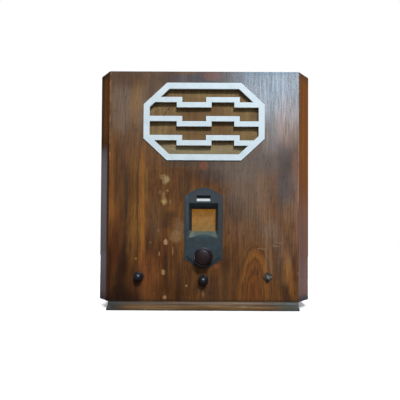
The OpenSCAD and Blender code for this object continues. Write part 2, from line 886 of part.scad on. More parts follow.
// Front plate, and the pot with its pole and the stud for the centring disc
module magnet_pot() {
    inside = pot_r - pot_wall;
    back = plate_t + pot_len - pot_floor;
    tip = neck_d - 0.6 - basket_d;
    color("dimgray") {
        turned_y(0, grille_z, speaker_y + basket_d, [[plate_hole_r, 0], [pot_r, 0],
            [pot_r, plate_t - butt_gap], [plate_hole_r, plate_t - butt_gap]]);
        turned_y(0, grille_z, speaker_y + basket_d, [[0, tip], [spider_stud_r, tip], [spider_stud_r, 0],
            [pole_r, 0], [pole_r, back], [inside, back], [inside, plate_t], [pot_r, plate_t],
            [pot_r, plate_t + pot_len], [0, plate_t + pot_len]]);
    }
}

// Energising coil on its bobbin round the pole
module field_coil() {
    coil_in_r = pole_r + 4;
    coil_out_r = pot_r - pot_wall - 1;
    end = pot_len - pot_floor;
    color("darkred")
        turned_y(0, grille_z, speaker_y + basket_d + plate_t, [[coil_in_r, 1], [coil_out_r, 1],
            [coil_out_r, end], [pole_r + hole_fit, end], [pole_r + hole_fit, end - 4],
            [coil_in_r, end - 4]]);
}

// A transformer: a core with its coil showing on both sides
module transformer(x, y, z, w, d, h) {
    translate([x - w / 2, y - d * 0.25, z])
        cube([w, d * 0.5, h]);
    translate([x - w * 0.32, y - d / 2, z + h * 0.2])
        cube([w * 0.64, d, h * 0.6]);
}

module output_transformer() {
    low = baffle_low + 12;
    left = -baffle_half_w + 5;
    foot = 1.5;
    color("darkslategray")
        union() {
            transformer(left + 3 + output_w / 2, speaker_y + output_depth / 2 + 1, low + foot, output_w,
                output_depth, output_h);
            translate([left, speaker_y, low])
                cube([output_w + 6, output_depth * 0.8, foot]);
        }
}

// Chassis: a flat deck on a front and a back apron, both bent sheets with an upper and a lower flange
valve_y = chassis_back - valve_inset;
valve_places = [for (i = [0:valve_count - 1]) [(i - (valve_count - 1) / 2) * valve_pitch, valve_y]];
apron_h = chassis_h - sheet_t;

module chassis_deck() {
    color("lightslategray")
        difference() {
            translate([-chassis_w / 2, chassis_y, deck_z - sheet_t])
                cube([chassis_w, chassis_d, sheet_t]);
            for (p = valve_places)
                translate([p[0], p[1], deck_z - sheet_t - 1])
                    cylinder(h = sheet_t + 2, r = valve_base_r - 2);
        }
}

// Section of an apron, seen along X, with its outer face at Y = 0 and its flanges towards +Y
module apron_sheet() {
    translate([-chassis_w / 2, 0, floor_z])
        rotate([90, 0, 90])
            linear_extrude(chassis_w)
                polygon([[0, 0], [foot_w, 0], [foot_w, sheet_t], [sheet_t, sheet_t],
                    [sheet_t, apron_h - sheet_t], [flange_w, apron_h - sheet_t], [flange_w, apron_h],
                    [0, apron_h]]);
}

module foot_holes(y) {
    for (x = [-foot_bolt_x, foot_bolt_x])
        translate([x, y, floor_z - 1])
            cylinder(h = sheet_t + 2, r = bolt_r + hole_fit);
}

module chassis_front() {
    color("lightslategray")
        difference() {
            translate([0, chassis_y, 0])
                apron_sheet();
            foot_holes(foot_bolt_y[0]);
            rod_y(0, tuning_z, chassis_y - 1, sheet_t + 2, bush_r + hole_fit);
            rod_y(0, wave_z, chassis_y - 1, sheet_t + 2, bush_r + hole_fit);
            rod_y(-side_control_x, side_control_z, chassis_y - 1, sheet_t + 2, bush_r + hole_fit);
        }
}

module chassis_back() {
    color("lightslategray")
        difference() {
            translate([0, chassis_back, 0])
                mirror([0, 1, 0])
                    apron_sheet();
            foot_holes(foot_bolt_y[1]);
            for (x = strip_x, s = [-1, 1])
                rod_y(x + s * socket_pitch / 2, strip_z, chassis_back - sheet_t - 1, sheet_t + 2,
                    socket_r + 2);
            rod_y(grommet_x, strip_z, chassis_back - sheet_t - 1, sheet_t + 2, grommet_r + grommet_t);
        }
}

module chassis_bolts() {
    head_t = 3;
    color("silver")
        for (x = [-foot_bolt_x, foot_bolt_x], y = foot_bolt_y)
            translate([x, y, base_z]) {
                cylinder(h = bottom_t + sheet_t + 5, r = bolt_r);
                translate([0, 0, -head_t])
                    cylinder(h = head_t, r = bolt_r * 2);
                translate([0, 0, bottom_t + sheet_t])
                    difference() {
                        cylinder(h = 3.5, r = bolt_r * 2, $fn = 6);
                        translate([0, 0, -1])
                            cylinder(h = 6, r = bolt_r + run_fit);
                    }
            }
}

// Rubber grommet in the back of the chassis for the mains lead
module mains_grommet() {
    neck = grommet_r + grommet_t - hole_fit;
    flange = grommet_r + grommet_t + 2.5;
    color("black")
        turned_y(grommet_x, strip_z, chassis_back - sheet_t, [[grommet_r, -2.5], [flange - 1, -2.5],
            [flange, -1.5], [flange, 0], [neck, 0], [neck, sheet_t], [flange, sheet_t],
            [flange, sheet_t + 1.5], [flange - 1, sheet_t + 2.5], [grommet_r, sheet_t + 2.5]]);
}

// Parts under the deck: a block condenser, tubular condensers and a row of resistors on a tag board
module chassis_parts() {
    under = deck_z - sheet_t;
    tubes = 5;
    step = tag_w / tubes;
    tag_x = 30;
    tag_y = valve_y - tag_d - 40;
    color("tan") {
        translate([-chassis_w / 2 + 20, valve_y - block_d - 30, under - block_h])
            cube([block_w, block_d, block_h]);
        translate([tag_x, tag_y, under - tag_t])
            cube([tag_w, tag_d, tag_t]);
        for (i = [0:tubes - 1]) {
            r = i % 2 == 0 ? tube_r : resistor_r;
            rod = [tag_x + (i + 0.5) * step, tag_y + (tag_d - tube_len) / 2, under - tag_t - butt_gap - r];
            rod_y(rod[0], rod[2], rod[1], tube_len, r);
        }
    }
}

// Aerial and earth strip and pick-up strip on the back of the chassis
module socket_strips() {
    color("black")
        for (x = strip_x)
            difference() {
                translate([x - strip_w / 2, chassis_back, strip_z - strip_h / 2])
                    cube([strip_w, strip_t, strip_h]);
                for (s = [-1, 1])
                    rod_y(x + s * socket_pitch / 2, strip_z, chassis_back - 1, strip_t + 2, socket_r);
            }
}

// Escutcheon outline, in X and height above the tuning control, drawn in by d
arch_up_r = (pow(arch_half_w, 2) + pow(esc_top - esc_up, 2)) / (2 * (esc_top - esc_up));
arch_down_r = (pow(arch_half_w, 2) + pow(esc_bottom - esc_down, 2)) / (2 * (esc_bottom - esc_down));
box_low = win_low - 12.5;
box_high = slot_low + slot_h + 1.8;
stud_places = [for (x = [-1, 1]) each [[x * (esc_half_w - 3.9), tuning_z + box_high - 9.5],
    [x * 22, tuning_z + 16]]];

module escutcheon_plate(d, y0, len) {
    along_y(y0, len)
        translate([0, tuning_z])
            square_body(d);
    intersection() {
        rod_y(0, tuning_z + esc_top - arch_up_r, y0, len, arch_up_r - d);
        translate([-arch_half_w, y0, tuning_z + esc_up - d - 1])
            cube([2 * arch_half_w, len, arch_up_r]);
    }
    intersection() {
        rod_y(0, tuning_z - esc_bottom + arch_down_r, y0, len, arch_down_r - d);
        translate([-arch_half_w, y0, tuning_z - esc_down + d + 1 - arch_down_r])
            cube([2 * arch_half_w, len, arch_down_r]);
    }
}

// The upright part of the escutcheon, with shoulders that fall from the arches to the sides
module square_body(d) {
    w = esc_half_w - d;
    low = -esc_down + d;
    high = esc_up - d;
    nick = 2.4;
    fall = shoulder_fall;
    half = arch_half_w - d / 2;
    polygon([[w, low + fall], [w, high - fall], [w - nick, high - fall + nick], [half, high],
        [-half, high], [-w + nick, high - fall + nick], [-w, high - fall], [-w, low + fall],
        [-w + nick, low + fall - nick], [-half, low], [half, low], [w - nick, low + fall - nick]]);
}

// The sloped window recess: narrows from the raised face back to the window
module window_recess() {
    deep_y = front_y + recess_in;
    face_y = esc_face_y - 1;
    grow = (esc_face_t + recess_in + 1) / (esc_face_t + recess_in);
    low = tuning_z + win_low;
    high = low + win_h;
    intersection() {
        translate([-esc_half_w, 0, 0])
            rotate([90, 0, 90])
                linear_extrude(2 * esc_half_w)
                    polygon([[deep_y, low], [deep_y, high], [face_y, high + recess_top * grow],
                        [face_y, low - recess_sill * grow]]);
        linear_extrude(top_z)
            polygon([[win_w / 2, deep_y], [-win_w / 2, deep_y], [-win_w / 2 - recess_side * grow, face_y],
                [win_w / 2 + recess_side * grow, face_y]]);
    }
}

pane_edge = 2.6;
marker_t = 1;
marker_y = front_y + 1;

module dial_escutcheon() {
    box_y = front_y + box_in;
    color("darkslategray")
        difference() {
            union() {
                escutcheon_plate(0, front_y - esc_flange_t, esc_flange_t);
                escutcheon_plate(esc_rim, esc_face_y, esc_face_t - esc_flange_t);
                translate([-box_half_w, front_y, tuning_z + box_low])
                    cube([2 * box_half_w, box_in, box_high - box_low]);
                intersection() {
                    rod_y(0, tuning_z, esc_face_y - boss_t, boss_t, boss_r);
                    escutcheon_plate(esc_rim, esc_face_y - boss_t, boss_t);
                }
                for (p = stud_places)
                    rod_y(p[0], p[1], front_y, front_t + 3.4, stud_r);
            }
            window_recess();
            translate([-win_w / 2, front_y, tuning_z + win_low])
                cube([win_w, box_in + 1, win_h]);
            translate([-win_w / 2 - pane_edge, box_y - pane_t, tuning_z + win_low - pane_edge])
                cube([win_w + 2 * pane_edge, pane_t + 1, win_h + 2 * pane_edge]);
            translate([-slot_w / 2, esc_face_y - 1, tuning_z + slot_low])
                cube([slot_w, esc_face_t + box_in + 2, slot_h]);
            translate([-slot_w / 2 - 3, marker_y, tuning_z + slot_low - 1])
                cube([slot_w + 6, box_in, slot_h + 2]);
            rod_y(0, tuning_z, esc_face_y - boss_t - 1, esc_face_t + boss_t + 2, panel_hole_r);
        }
}

module escutcheon_nuts() {
    color("silver")
        for (p = stud_places)
            nut_y(p[0], p[1], in_y, 2.4, 5.5, stud_r + run_fit);
}

module dial_window() {
    e = pane_edge - 0.2;
    color("orange")
        translate([-win_w / 2 - e, front_y + box_in - pane_t, tuning_z + win_low - e])
            cube([win_w + 2 * e, pane_t, win_h + 2 * e]);
}

module window_marker() {
    color("ivory")
        translate([-slot_w / 2 - 2.8, marker_y, tuning_z + slot_low - 0.8])
            cube([slot_w + 5.6, marker_t, slot_h + 1.6]);
}

// Gang condenser: a base with three upright plates
module gang_frame() {
    low = deck_z;
    high = shaft_z + vane_r * 0.6;
    color("silver")
        difference() {
            union() {
                translate([shaft_x - gang_half_w, gang_y, low])
                    cube([2 * gang_half_w, gang_len, gang_plate_t]);
                for (i = [0:2])
                    translate([shaft_x - gang_half_w, gang_y + i * (section_d + gang_plate_t), low])
                        cube([2 * gang_half_w, gang_plate_t, high - low]);
            }
            rod_y(shaft_x, shaft_z, gang_y - 1, gang_len + 2, shaft_r + run_fit);
        }
}

// Fixed vanes of each section, joined by two rods
module gang_stators() {
    w = vane_r + 2;
    notch_r = shaft_r + 5;
    rod_z = stator_z + 1.5;
    color("lightgray")
        for (s = [0, 1]) {
            y0 = gang_y + gang_plate_t + s * (section_d + gang_plate_t);
            span = (vane_count - 2) * vane_pitch + vane_t;
            start = y0 + vane_start + (vane_pitch - vane_t) / 2;
            for (x = [-w + 2, w - 2])
                rod_y(shaft_x + x, rod_z, start, span, 1.2);
            difference() {
                for (k = [0:vane_count - 2])
                    translate([shaft_x - w, start + k * vane_pitch, stator_z])
                        cube([2 * w, vane_t, shaft_z - 0.5 - stator_z]);
                rod_y(shaft_x, shaft_z, y0, section_d, notch_r);
            }
        }
}

module gang_insulators() {
    low = deck_z + gang_plate_t;
    color("saddlebrown")
        for (s = [0, 1], x = [-gang_half_w * 0.55, gang_half_w * 0.55])
            translate([shaft_x + x - 4, gang_y + gang_plate_t + s * (section_d + gang_plate_t) + 1, low])
                cube([8, section_d - 2, stator_z - low]);
}

// Shaft and moving vanes, half in mesh at rest
module gang_rotor() {
    color("silver")
        union() {
            rod_y(shaft_x, shaft_z, hub_y, gang_y + gang_len + 3 - hub_y, shaft_r);
            for (s = [0, 1]) {
                y0 = gang_y + gang_plate_t + s * (section_d + gang_plate_t);
                for (k = [0:vane_count - 1])
                    difference() {
                        rod_y(shaft_x, shaft_z, y0 + vane_start + k * vane_pitch - vane_t / 2, vane_t,
                            vane_r);
                        translate([shaft_x, y0, shaft_z - vane_r - 1])
                            cube([vane_r + 1, section_d, 2 * vane_r + 2]);
                    }
            }
        }
}

module dial_disc() {
    color("lightgray")
        difference() {
            union() {
                rod_y(shaft_x, shaft_z, dial_y, disc_t, disc_r);
                rod_y(shaft_x, shaft_z, hub_y, hub_len, hub_r);
            }
            rod_y(shaft_x, shaft_z, hub_y - 1, hub_len + 2, shaft_r + run_fit);
        }
}

module dial_scale() {
    color("wheat")
        difference() {
            rod_y(shaft_x, shaft_z, dial_y - scale_t, scale_t, scale_r);
            rod_y(shaft_x, shaft_z, dial_y - scale_t - 1, scale_t + 2, hub_r + hole_fit);
        }
}

// Lamp above the dial, on a plate that stands on the deck
lamp_r = 5.5;
lamp_y = in_y + 6.5;
lamp_z = tuning_z + box_high + lamp_rise;
lamp_plate_x = 42;

module dial_lamp_holder() {
    plate_t = 1.5;
    color("tan")
        difference() {
            union() {
                translate([lamp_plate_x, 0, 0])
                    rotate([90, 0, 90])
                        linear_extrude(plate_t)
                            polygon([[chassis_y + 4, deck_z], [chassis_y + 20, deck_z],
                                [chassis_y + 20, deck_z + 6], [lamp_y + 10, lamp_z - 8],
                                [lamp_y + 6, lamp_z + 7], [lamp_y - 6, lamp_z + 7],
                                [lamp_y - 6, lamp_z - 10]]);
                translate([lamp_plate_x, chassis_y + 4, deck_z])
                    cube([16, 16, plate_t]);
                translate([lamp_plate_x - 14, lamp_y, lamp_z])
                    rotate([0, 90, 0])
                        cylinder(h = 14, r = 5.9);
            }
            translate([lamp_plate_x - 15, lamp_y, lamp_z])
                rotate([0, 90, 0])
                    cylinder(h = 12, r = 4.7 + hole_fit);
        }
}

module dial_lamp() {
    color("lightyellow")
        translate([lamp_plate_x - 14, lamp_y, lamp_z])
            rotate([0, -90, 0])
                rotate_extrude()
                    polygon(concat([[0, -10], [4.7, -10], [4.7, 1], [3.8, 3]],
                        arc(0, 12, lamp_r, -40, 90, 8)));
}

// Tuning spindle with the two washers that grip the rim of the dial disc
module tuning_bush() {
    tail = sheet_t + nut_t + 3;
    color("goldenrod")
        difference() {
            union() {
                rod_y(0, tuning_z, chassis_y - 2.5, 2.5, bush_r + 2.5);
                rod_y(0, tuning_z, chassis_y, tail, bush_r);
            }
            rod_y(0, tuning_z, chassis_y - 4, tail + 5, spindle_r + run_fit);
        }
}

module tuning_spindle() {
    tip = tuning_knob_y - knob_bore + 0.5;
    tail = chassis_y + sheet_t + nut_t + 5;
    color("silver")
        union() {
            rod_y(0, tuning_z, tip, tail - tip, spindle_r);
            rod_y(0, tuning_z, dial_y - grip_gap - 0.5, disc_t + 2 * grip_gap + 1, neck_r);
            rod_y(0, tuning_z, dial_y - grip_gap - grip_t, grip_t, grip_r);
            rod_y(0, tuning_z, dial_y + disc_t + grip_gap, grip_t, grip_r);
        }
}

// Outline of the tuning knob: a skirt, a waist and a domed cap, as radius and distance to the front
function tuning_outline() =
    let (r = tuning_knob_r, cap = r - tuning_skirt_w, len = tuning_knob_len, edge = tuning_edge_r,
        dome = tuning_dome, dome_r = (pow(cap - edge, 2) + pow(dome, 2)) / (2 * dome))
    concat([[0, 0], [r, 0]], arc(r - 1.6, 2.6, 1.6, 0, 90, 5), [[cap + 0.4, 4.2], [cap, 5]],
        arc(cap - edge, len - dome - edge, edge, 0, 82, 6),
        [for (i = [4:-1:0]) let (x = (cap - edge) * i / 4) [x, len - dome_r + sqrt(pow(dome_r, 2) - x * x)]]);

module knob_hole(x, z, y0) {
    rod_y(x, z, y0 - knob_bore, knob_bore + 1, spindle_r + run_fit);
}

module tuning_knob() {
    color("maroon")
        difference() {
            turned_front(0, tuning_z, tuning_knob_y, tuning_outline());
            knob_hole(0, tuning_z, tuning_knob_y);
        }
}

// Outline of a small knob: a narrow skirt under a rounded head
function small_outline() =
    let (r = small_knob_r, head = r - 1.4, len = small_knob_len, mid = len - head)
    concat([[0, 0], [r, 0], [r, 1.6], [r - 0.5, 2.4], [head - 0.6, 3.6], [head - 0.5, 5]],
        arc(0, mid, head, -20, 90, 11));

module small_knob(x, z) {
    difference() {
        turned_front(x, z, small_knob_y, small_outline());
        knob_hole(x, z, small_knob_y);
    }
}

module volume_knob() {
    color("black")
        small_knob(-side_control_x, side_control_z);
}

module wave_knob() {
    color("black")
        small_knob(0, wave_z);
}

small_tip = small_knob_y - knob_bore + 0.5;

module volume_spindle() {
    tail = chassis_y + sheet_t + 6;
    color("silver")
        rod_y(-side_control_x, side_control_z, small_tip, tail - small_tip, spindle_r);
}

module volume_control() {
    color("dimgray")
        difference() {
            union() {
                rod_y(-side_control_x, side_control_z, chassis_y + sheet_t, volume_can_d, volume_can_r);
                rod_y(-side_control_x, side_control_z, chassis_y + sheet_t - bush_out, bush_out, bush_r);
            }
            rod_y(-side_control_x, side_control_z, chassis_y + sheet_t - bush_out - 1, bush_out + 7,
                spindle_r + run_fit);
        }
}

// Wave-change switch: a bracket, two wafers and two rods
module wave_switch() {
    y0 = chassis_y + sheet_t;
    rod_x = switch_w / 2 - 5;
    color("peru")
        difference() {
            union() {
                rod_y(0, wave_z, y0 - bush_out, bush_out, bush_r);
                translate([-switch_w / 2, y0, wave_z - switch_plate_h / 2])
                    cube([switch_w, switch_plate_t, switch_plate_h]);
                for (d = [switch_d / 2 - 3, switch_d - 2])
                    rod_y(0, wave_z, y0 + d, 2, wafer_r);
                for (x = [-rod_x, rod_x])
                    rod_y(x, wave_z, y0 + switch_plate_t - 1, switch_d - switch_plate_t + 1, 1.8);
            }
            rod_y(0, wave_z, y0 - bush_out - 1, switch_d + bush_out + 2, spindle_r + run_fit);
        }
}

module wave_spindle() {
    tail = chassis_y + sheet_t + switch_d + 2;
    color("silver")
        rod_y(0, wave_z, small_tip, tail - small_tip, spindle_r);
}

// Tone control, fixed straight to the front panel; its spindle is bare, with a groove for a clip
module tone_control() {
    color("dimgray")
        difference() {
            union() {
                rod_y(side_control_x, side_control_z, in_y, tone_can_d, tone_can_r);
                rod_y(side_control_x, side_control_z, front_y - panel_bush_out, front_t + panel_bush_out,
                    bush_r);
            }
            rod_y(side_control_x, side_control_z, front_y - panel_bush_out - 1,
                front_t + panel_bush_out + 7, spindle_r + run_fit);
        }
}

module tone_spindle() {
    mouth = front_y - panel_bush_out;
    tip = mouth - bare_out;
    tail = in_y + 5;
    color("silver") {
        rod_y(side_control_x, side_control_z, tip, bare_out - clip_w, spindle_r);
        rod_y(side_control_x, side_control_z, tip, tail - tip, spindle_r - 0.5);
        rod_y(side_control_x, side_control_z, mouth, tail - mouth, spindle_r);
    }
}

// Hexagonal nuts of the four bushes, and the washer under the one outside the front panel
module control_nuts() {
    hole = bush_r + run_fit;
    color("silver") {
        nut_y(0, tuning_z, chassis_y + sheet_t, nut_t, nut_af, hole);
        nut_y(0, wave_z, chassis_y - nut_t, nut_t, nut_af, hole);
        nut_y(-side_control_x, side_control_z, chassis_y - nut_t, nut_t, nut_af, hole);
        nut_y(side_control_x, side_control_z, front_y - washer_t - butt_gap - nut_t, nut_t, nut_af, hole);
        difference() {
            rod_y(side_control_x, side_control_z, front_y - washer_t, washer_t, washer_r);
            rod_y(side_control_x, side_control_z, front_y - washer_t - 1, washer_t + 2, hole);
        }
    }
}

module mains_transformer() {
    color("darkslategray")
        union()
            transformer(mains_x, chassis_y + mains_y, deck_z, mains_w, mains_depth, mains_h);
}

module valve_holders() {
    color("saddlebrown")
        for (p = valve_places)
            translate([p[0], p[1], deck_z]) {
                cylinder(h = valve_socket_h, r = valve_base_r + 1);
                translate([0, 0, -8])
                    cylinder(h = 8, r = valve_base_r - 2 - hole_fit);
            }
}

module valve_bases() {
    color("black")
        for (p = valve_places)
            translate([p[0], p[1], deck_z + valve_socket_h])
                cylinder(h = valve_base_h, r = valve_base_r);
}

// Glass bulbs with a narrow foot, a wide shoulder and a domed top
module valve_bulbs() {
    foot_r = valve_base_r - 1.5;
    dome_r = bulb_r * 0.62;
    color("gray")
        for (p = valve_places)
            translate([p[0], p[1], deck_z + valve_socket_h + valve_base_h])
                rotate_extrude()
                    polygon(concat([[0, 0], [foot_r, 0], [foot_r, bulb_h * 0.12]],
                        arc(0, bulb_h * 0.48, bulb_r, -38, 30, 6), arc(0, bulb_h - dome_r, dome_r, 0, 90, 6)));
}

// Screened coils
module coil_cans() {
    places = [[-can_left, chassis_y + can_front], [-can_left, valve_y - can_gap],
        [can_right, valve_y - can_gap]];
    color("lightgray")
        for (p = places)
            translate([p[0], p[1], deck_z]) {
                cylinder(h = can_h - 2, r = can_r);
                translate([0, 0, can_h - 2])
                    cylinder(h = 2, r1 = can_r, r2 = can_r - 2);
            }
}

front_panel();
left_cant();
right_cant();
left_side();
right_side();
top_panel();
bottom_board();
battens_and_blocks();
plinth_moulding();
plinth_runners();
rear_cover();
rear_cover_screws();
grille_fret();
grille_cloth();
speaker_baffle();
baffle_screws();
speaker_basket();
speaker_surround();
speaker_spider();
speaker_cone();
voice_coil();
magnet_pot();
field_coil();
output_transformer();
chassis_deck();
chassis_front();
chassis_back();
chassis_bolts();
dial_escutcheon();
escutcheon_nuts();
dial_window();
window_marker();
tuning_bush();
control_nuts();
gang_frame();
gang_stators();
gang_insulators();
gang_rotor();
dial_disc();
dial_scale();
dial_lamp_holder();
dial_lamp();
tuning_spindle();
tuning_knob();
volume_control();
volume_spindle();
volume_knob();
wave_switch();
wave_spindle();
wave_knob();
tone_control();
tone_spindle();
mains_transformer();
valve_holders();
valve_bases();
valve_bulbs();
coil_cans();
socket_strips();
mains_grommet();
chassis_parts();
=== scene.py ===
# Table radio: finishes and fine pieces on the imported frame. Metres, +Z up, the front faces -Y.
from math import cos, exp, pi, radians, sin
import bmesh
import bpy
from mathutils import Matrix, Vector, noise


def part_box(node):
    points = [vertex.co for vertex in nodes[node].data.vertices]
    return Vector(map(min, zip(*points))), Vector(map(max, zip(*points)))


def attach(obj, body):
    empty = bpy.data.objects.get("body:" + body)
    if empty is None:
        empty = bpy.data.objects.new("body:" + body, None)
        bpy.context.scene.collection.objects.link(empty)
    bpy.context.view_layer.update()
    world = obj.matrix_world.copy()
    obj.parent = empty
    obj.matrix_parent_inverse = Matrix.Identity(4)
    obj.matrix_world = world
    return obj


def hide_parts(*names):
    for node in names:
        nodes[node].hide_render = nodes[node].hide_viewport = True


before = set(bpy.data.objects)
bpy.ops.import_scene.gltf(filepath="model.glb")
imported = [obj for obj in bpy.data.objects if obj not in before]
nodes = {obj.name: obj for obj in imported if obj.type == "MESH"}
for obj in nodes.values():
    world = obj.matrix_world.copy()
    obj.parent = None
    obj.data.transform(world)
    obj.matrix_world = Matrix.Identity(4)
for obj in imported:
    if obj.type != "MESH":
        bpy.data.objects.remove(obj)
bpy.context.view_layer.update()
print("frame loaded,", len(nodes), "nodes")


def shade(code):  # a colour as picked on screen, turned into the values that the shader takes
    parts = [int(code[i:i + 2], 16) / 255 for i in (0, 2, 4)]
    return [p / 12.92 if p <= 0.04045 else ((p + 0.055) / 1.055) ** 2.4 for p in parts] + [1]


class Channel:  # one output of a node; sums on it add Math nodes
    def __init__(self, finish, socket):
        self.finish = finish
        self.socket = socket

    def math(self, operation, first, second=0.0):
        return self.finish.node("Math", {"operation": operation}, {0: first, 1: second})

    def __add__(self, other):
        return self.math("ADD", self, other)

    def __radd__(self, other):
        return self.math("ADD", other, self)

    def __sub__(self, other):
        return self.math("SUBTRACT", self, other)

    def __rsub__(self, other):
        return self.math("SUBTRACT", other, self)

    def __mul__(self, other):
        return self.math("MULTIPLY", self, other)

    def __rmul__(self, other):
        return self.math("MULTIPLY", other, self)

    def __truediv__(self, other):
        return self.math("DIVIDE", self, other)

    def __rtruediv__(self, other):
        return self.math("DIVIDE", other, self)

    def __pow__(self, other):
        return self.math("POWER", self, other)

    def __rpow__(self, other):
        return self.math("POWER", other, self)

    def __abs__(self):
        return self.math("ABSOLUTE", self)

    def largest(self, other):
        return self.math("MAXIMUM", self, other)

    def rise(self, low, high):  # smooth step from 0 at low to 1 at high
        return self.finish.node("MapRange", {"interpolation_type": "SMOOTHSTEP", "clamp": False},
                                {"Value": self, "From Min": low, "From Max": high})


class Finish:  # one material, or the world, and its nodes
    def __init__(self, owner):
        owner.use_nodes = True
        self.owner = owner
        self.tree = owner.node_tree
        self.place = None
        self.parts = None

    def node(self, kind, settings=None, values=None, output=0):
        made = self.tree.nodes.new("ShaderNode" + kind)
        for name, setting in (settings or {}).items():
            if name == "stops":
                ramp = made.color_ramp
                while len(ramp.elements) < len(setting):
                    ramp.elements.new(0.5)
                for element, (spot, colour) in zip(ramp.elements, setting):
                    element.position = spot
                    element.color = colour
            else:
                setattr(made, name, setting)
        for name, value in (values or {}).items():
            if isinstance(value, Channel):
                self.tree.links.new(value.socket, made.inputs[name])
            else:
                made.inputs[name].default_value = value
        return Channel(self, made.outputs[output])

    def where(self):  # the point on the object, in metres
        if self.place is None:
            self.place = self.node("TexCoord", output="Object")
        return self.place

    def axes(self):
        if self.parts is None:
            split = self.node("SeparateXYZ", {}, {0: self.where()})
            self.parts = [Channel(self, split.socket.node.outputs[i]) for i in range(3)]
        return self.parts

    def scaled(self, x, y, z):
        return self.node("VectorMath", {"operation": "MULTIPLY"}, {0: self.where(), 1: (x, y, z)})

    def noise(self, point, scale=1.0, detail=3.0, rough=0.55, bend=0.0):
        return self.node("TexNoise", {}, {"Vector": point, "Scale": scale, "Detail": detail,
                                          "Roughness": rough, "Distortion": bend})

    def lineNoise(self, spot, scale, detail=2.0):  # uneven bands along one number
        return self.node("TexNoise", {"noise_dimensions": "1D"},
                         {"W": spot, "Scale": scale, "Detail": detail, "Roughness": 0.5})

    def mix(self, first, second, factor, blend="MIX"):
        return self.node("Mix", {"data_type": "RGBA", "blend_type": blend, "clamp_factor": True},
                         {0: factor, 6: first, 7: second}, 2)

    def ramp(self, value, *stops):
        return self.node("ValToRGB", {"stops": [(spot, shade(code)) for spot, code in stops]},
                         {0: value})

    def tinted(self, colour, *tints):  # each tint goes over the last, through its own mask
        for code, mask in tints:
            colour = self.mix(colour, shade(code), mask)
        return colour

    def washed(self, colour, tintsAndPaintedLight, cloud):  # tints that grow along one axis; some are painted shade, highlight or reflection
        for code, axis, low, high, strength in tintsAndPaintedLight:
            amount = self.axes()["xyz".index(axis)].rise(low, high)
            colour = self.mix(colour, shade(code), amount * strength * (0.6 + cloud * 0.7))
        return colour

    def bump(self, height, distance, strength=1.0):
        return self.node("Bump", {}, {"Height": height, "Distance": distance, "Strength": strength})

    def surface(self, values):
        shader = self.tree.nodes["Principled BSDF"]
        for name, value in values.items():
            if isinstance(value, Channel):
                self.tree.links.new(value.socket, shader.inputs[name])
            else:
                shader.inputs[name].default_value = value
        return self.owner


def newFinish(name):
    return Finish(bpy.data.materials.new(name))


def dress(material, *names):
    for name in names:
        piece = nodes[name]
        for place in piece.material_slots:
            place.material = material


# Camera, floor and light
stagePlan = {"cameraAt": (0.0328, -1.231, 0.156), "cameraTurn": (91.638, -0.294, 0.1256), "lens": 53.496,
             "shift": (-0.05, 0.02), "clipEnd": 100, "floorSize": 3.6, "floorTones": ("f2f2f2", "f8f8f8"),
             "mirroredFront": "6e6a64", "mirroredRear": "9aa0b4", "mirrorTurn": (-0.20, 0.20),
             "floorGlow": 0.3}
camera = bpy.data.objects.new("camera", bpy.data.cameras.new("camera"))
camera.location = stagePlan["cameraAt"]
camera.rotation_euler = [radians(turn) for turn in stagePlan["cameraTurn"]]
camera.data.lens = stagePlan["lens"]
camera.data.shift_x, camera.data.shift_y = stagePlan["shift"]
camera.data.clip_end = stagePlan["clipEnd"]
bpy.context.collection.objects.link(camera)
bpy.context.scene.camera = camera
bpy.context.scene.view_settings.view_transform = "Standard"

floorMesh = bpy.data.meshes.new("floor")
half = stagePlan["floorSize"] / 2
corners = [(-half, -half, 0), (half, -half, 0), (half, half, 0), (-half, half, 0)]
floorMesh.from_pydata(corners, [], [(0, 1, 2, 3)])
floor = bpy.data.objects.new("floor", floorMesh)
bpy.context.collection.objects.link(floor)
paleFloor = newFinish("paleFloor")
low, high = stagePlan["floorTones"]
pale = paleFloor.ramp(paleFloor.noise(paleFloor.where(), 1.5, 3), (0.2, low), (0.8, high))
# What the gloss and the bounced light see: dull in front of the set, bright behind it
mirrored = paleFloor.mix(shade(stagePlan["mirroredFront"]), shade(stagePlan["mirroredRear"]),
                         paleFloor.axes()[1].rise(*stagePlan["mirrorTurn"]))
dull = paleFloor.mix(mirrored, pale, paleFloor.node("LightPath", output="Is Camera Ray"))
glow = paleFloor.mix((0, 0, 0, 1), pale, paleFloor.node("LightPath", output="Is Camera Ray"))
floorMesh.materials.append(paleFloor.surface({
    "Base Color": dull, "Roughness": 0.9, "Specular IOR Level": 0.0,
    "Emission Color": glow, "Emission Strength": stagePlan["floorGlow"]}))  # the glow softens the shadows

lights = {
    "window": {"at": (0.42, -2.20, 1.80), "aim": (0.05, 0, 0.25), "size": (0.42, 0.42), "power": 68,
               "colour": (0.90, 0.96, 1.0)},
    "sky": {"at": (0.325, -2.33, 0.94), "aim": (0.13, -0.13, 0.40), "size": (0.30, 0.24), "power": 9,
            "colour": (0.44, 0.74, 1.0)},
    "overhead": {"at": (0, 0.75, 2.3), "aim": (0, 0.7, 0), "size": (1.8, 1.4), "power": 40,
                 "colour": (1, 1, 1)},
    "back": {"at": (-0.9, 2.2, 1.5), "aim": (0, 0, 0.2), "size": (1.4, 1.2), "power": 55,
             "colour": (1, 1, 1)},
}
for name, plan in lights.items():
    lamp = bpy.data.lights.new(name, "AREA")
    lamp.shape = "RECTANGLE"
    lamp.size, lamp.size_y = plan["size"]
    lamp.energy = plan["power"]
    lamp.color = plan["colour"]
    holder = bpy.data.objects.new(name, lamp)
    holder.location = plan["at"]
    holder.rotation_euler = (Vector(plan["aim"]) - Vector(plan["at"])).to_track_quat("-Z", "Y").to_euler()
    bpy.context.collection.objects.link(holder)

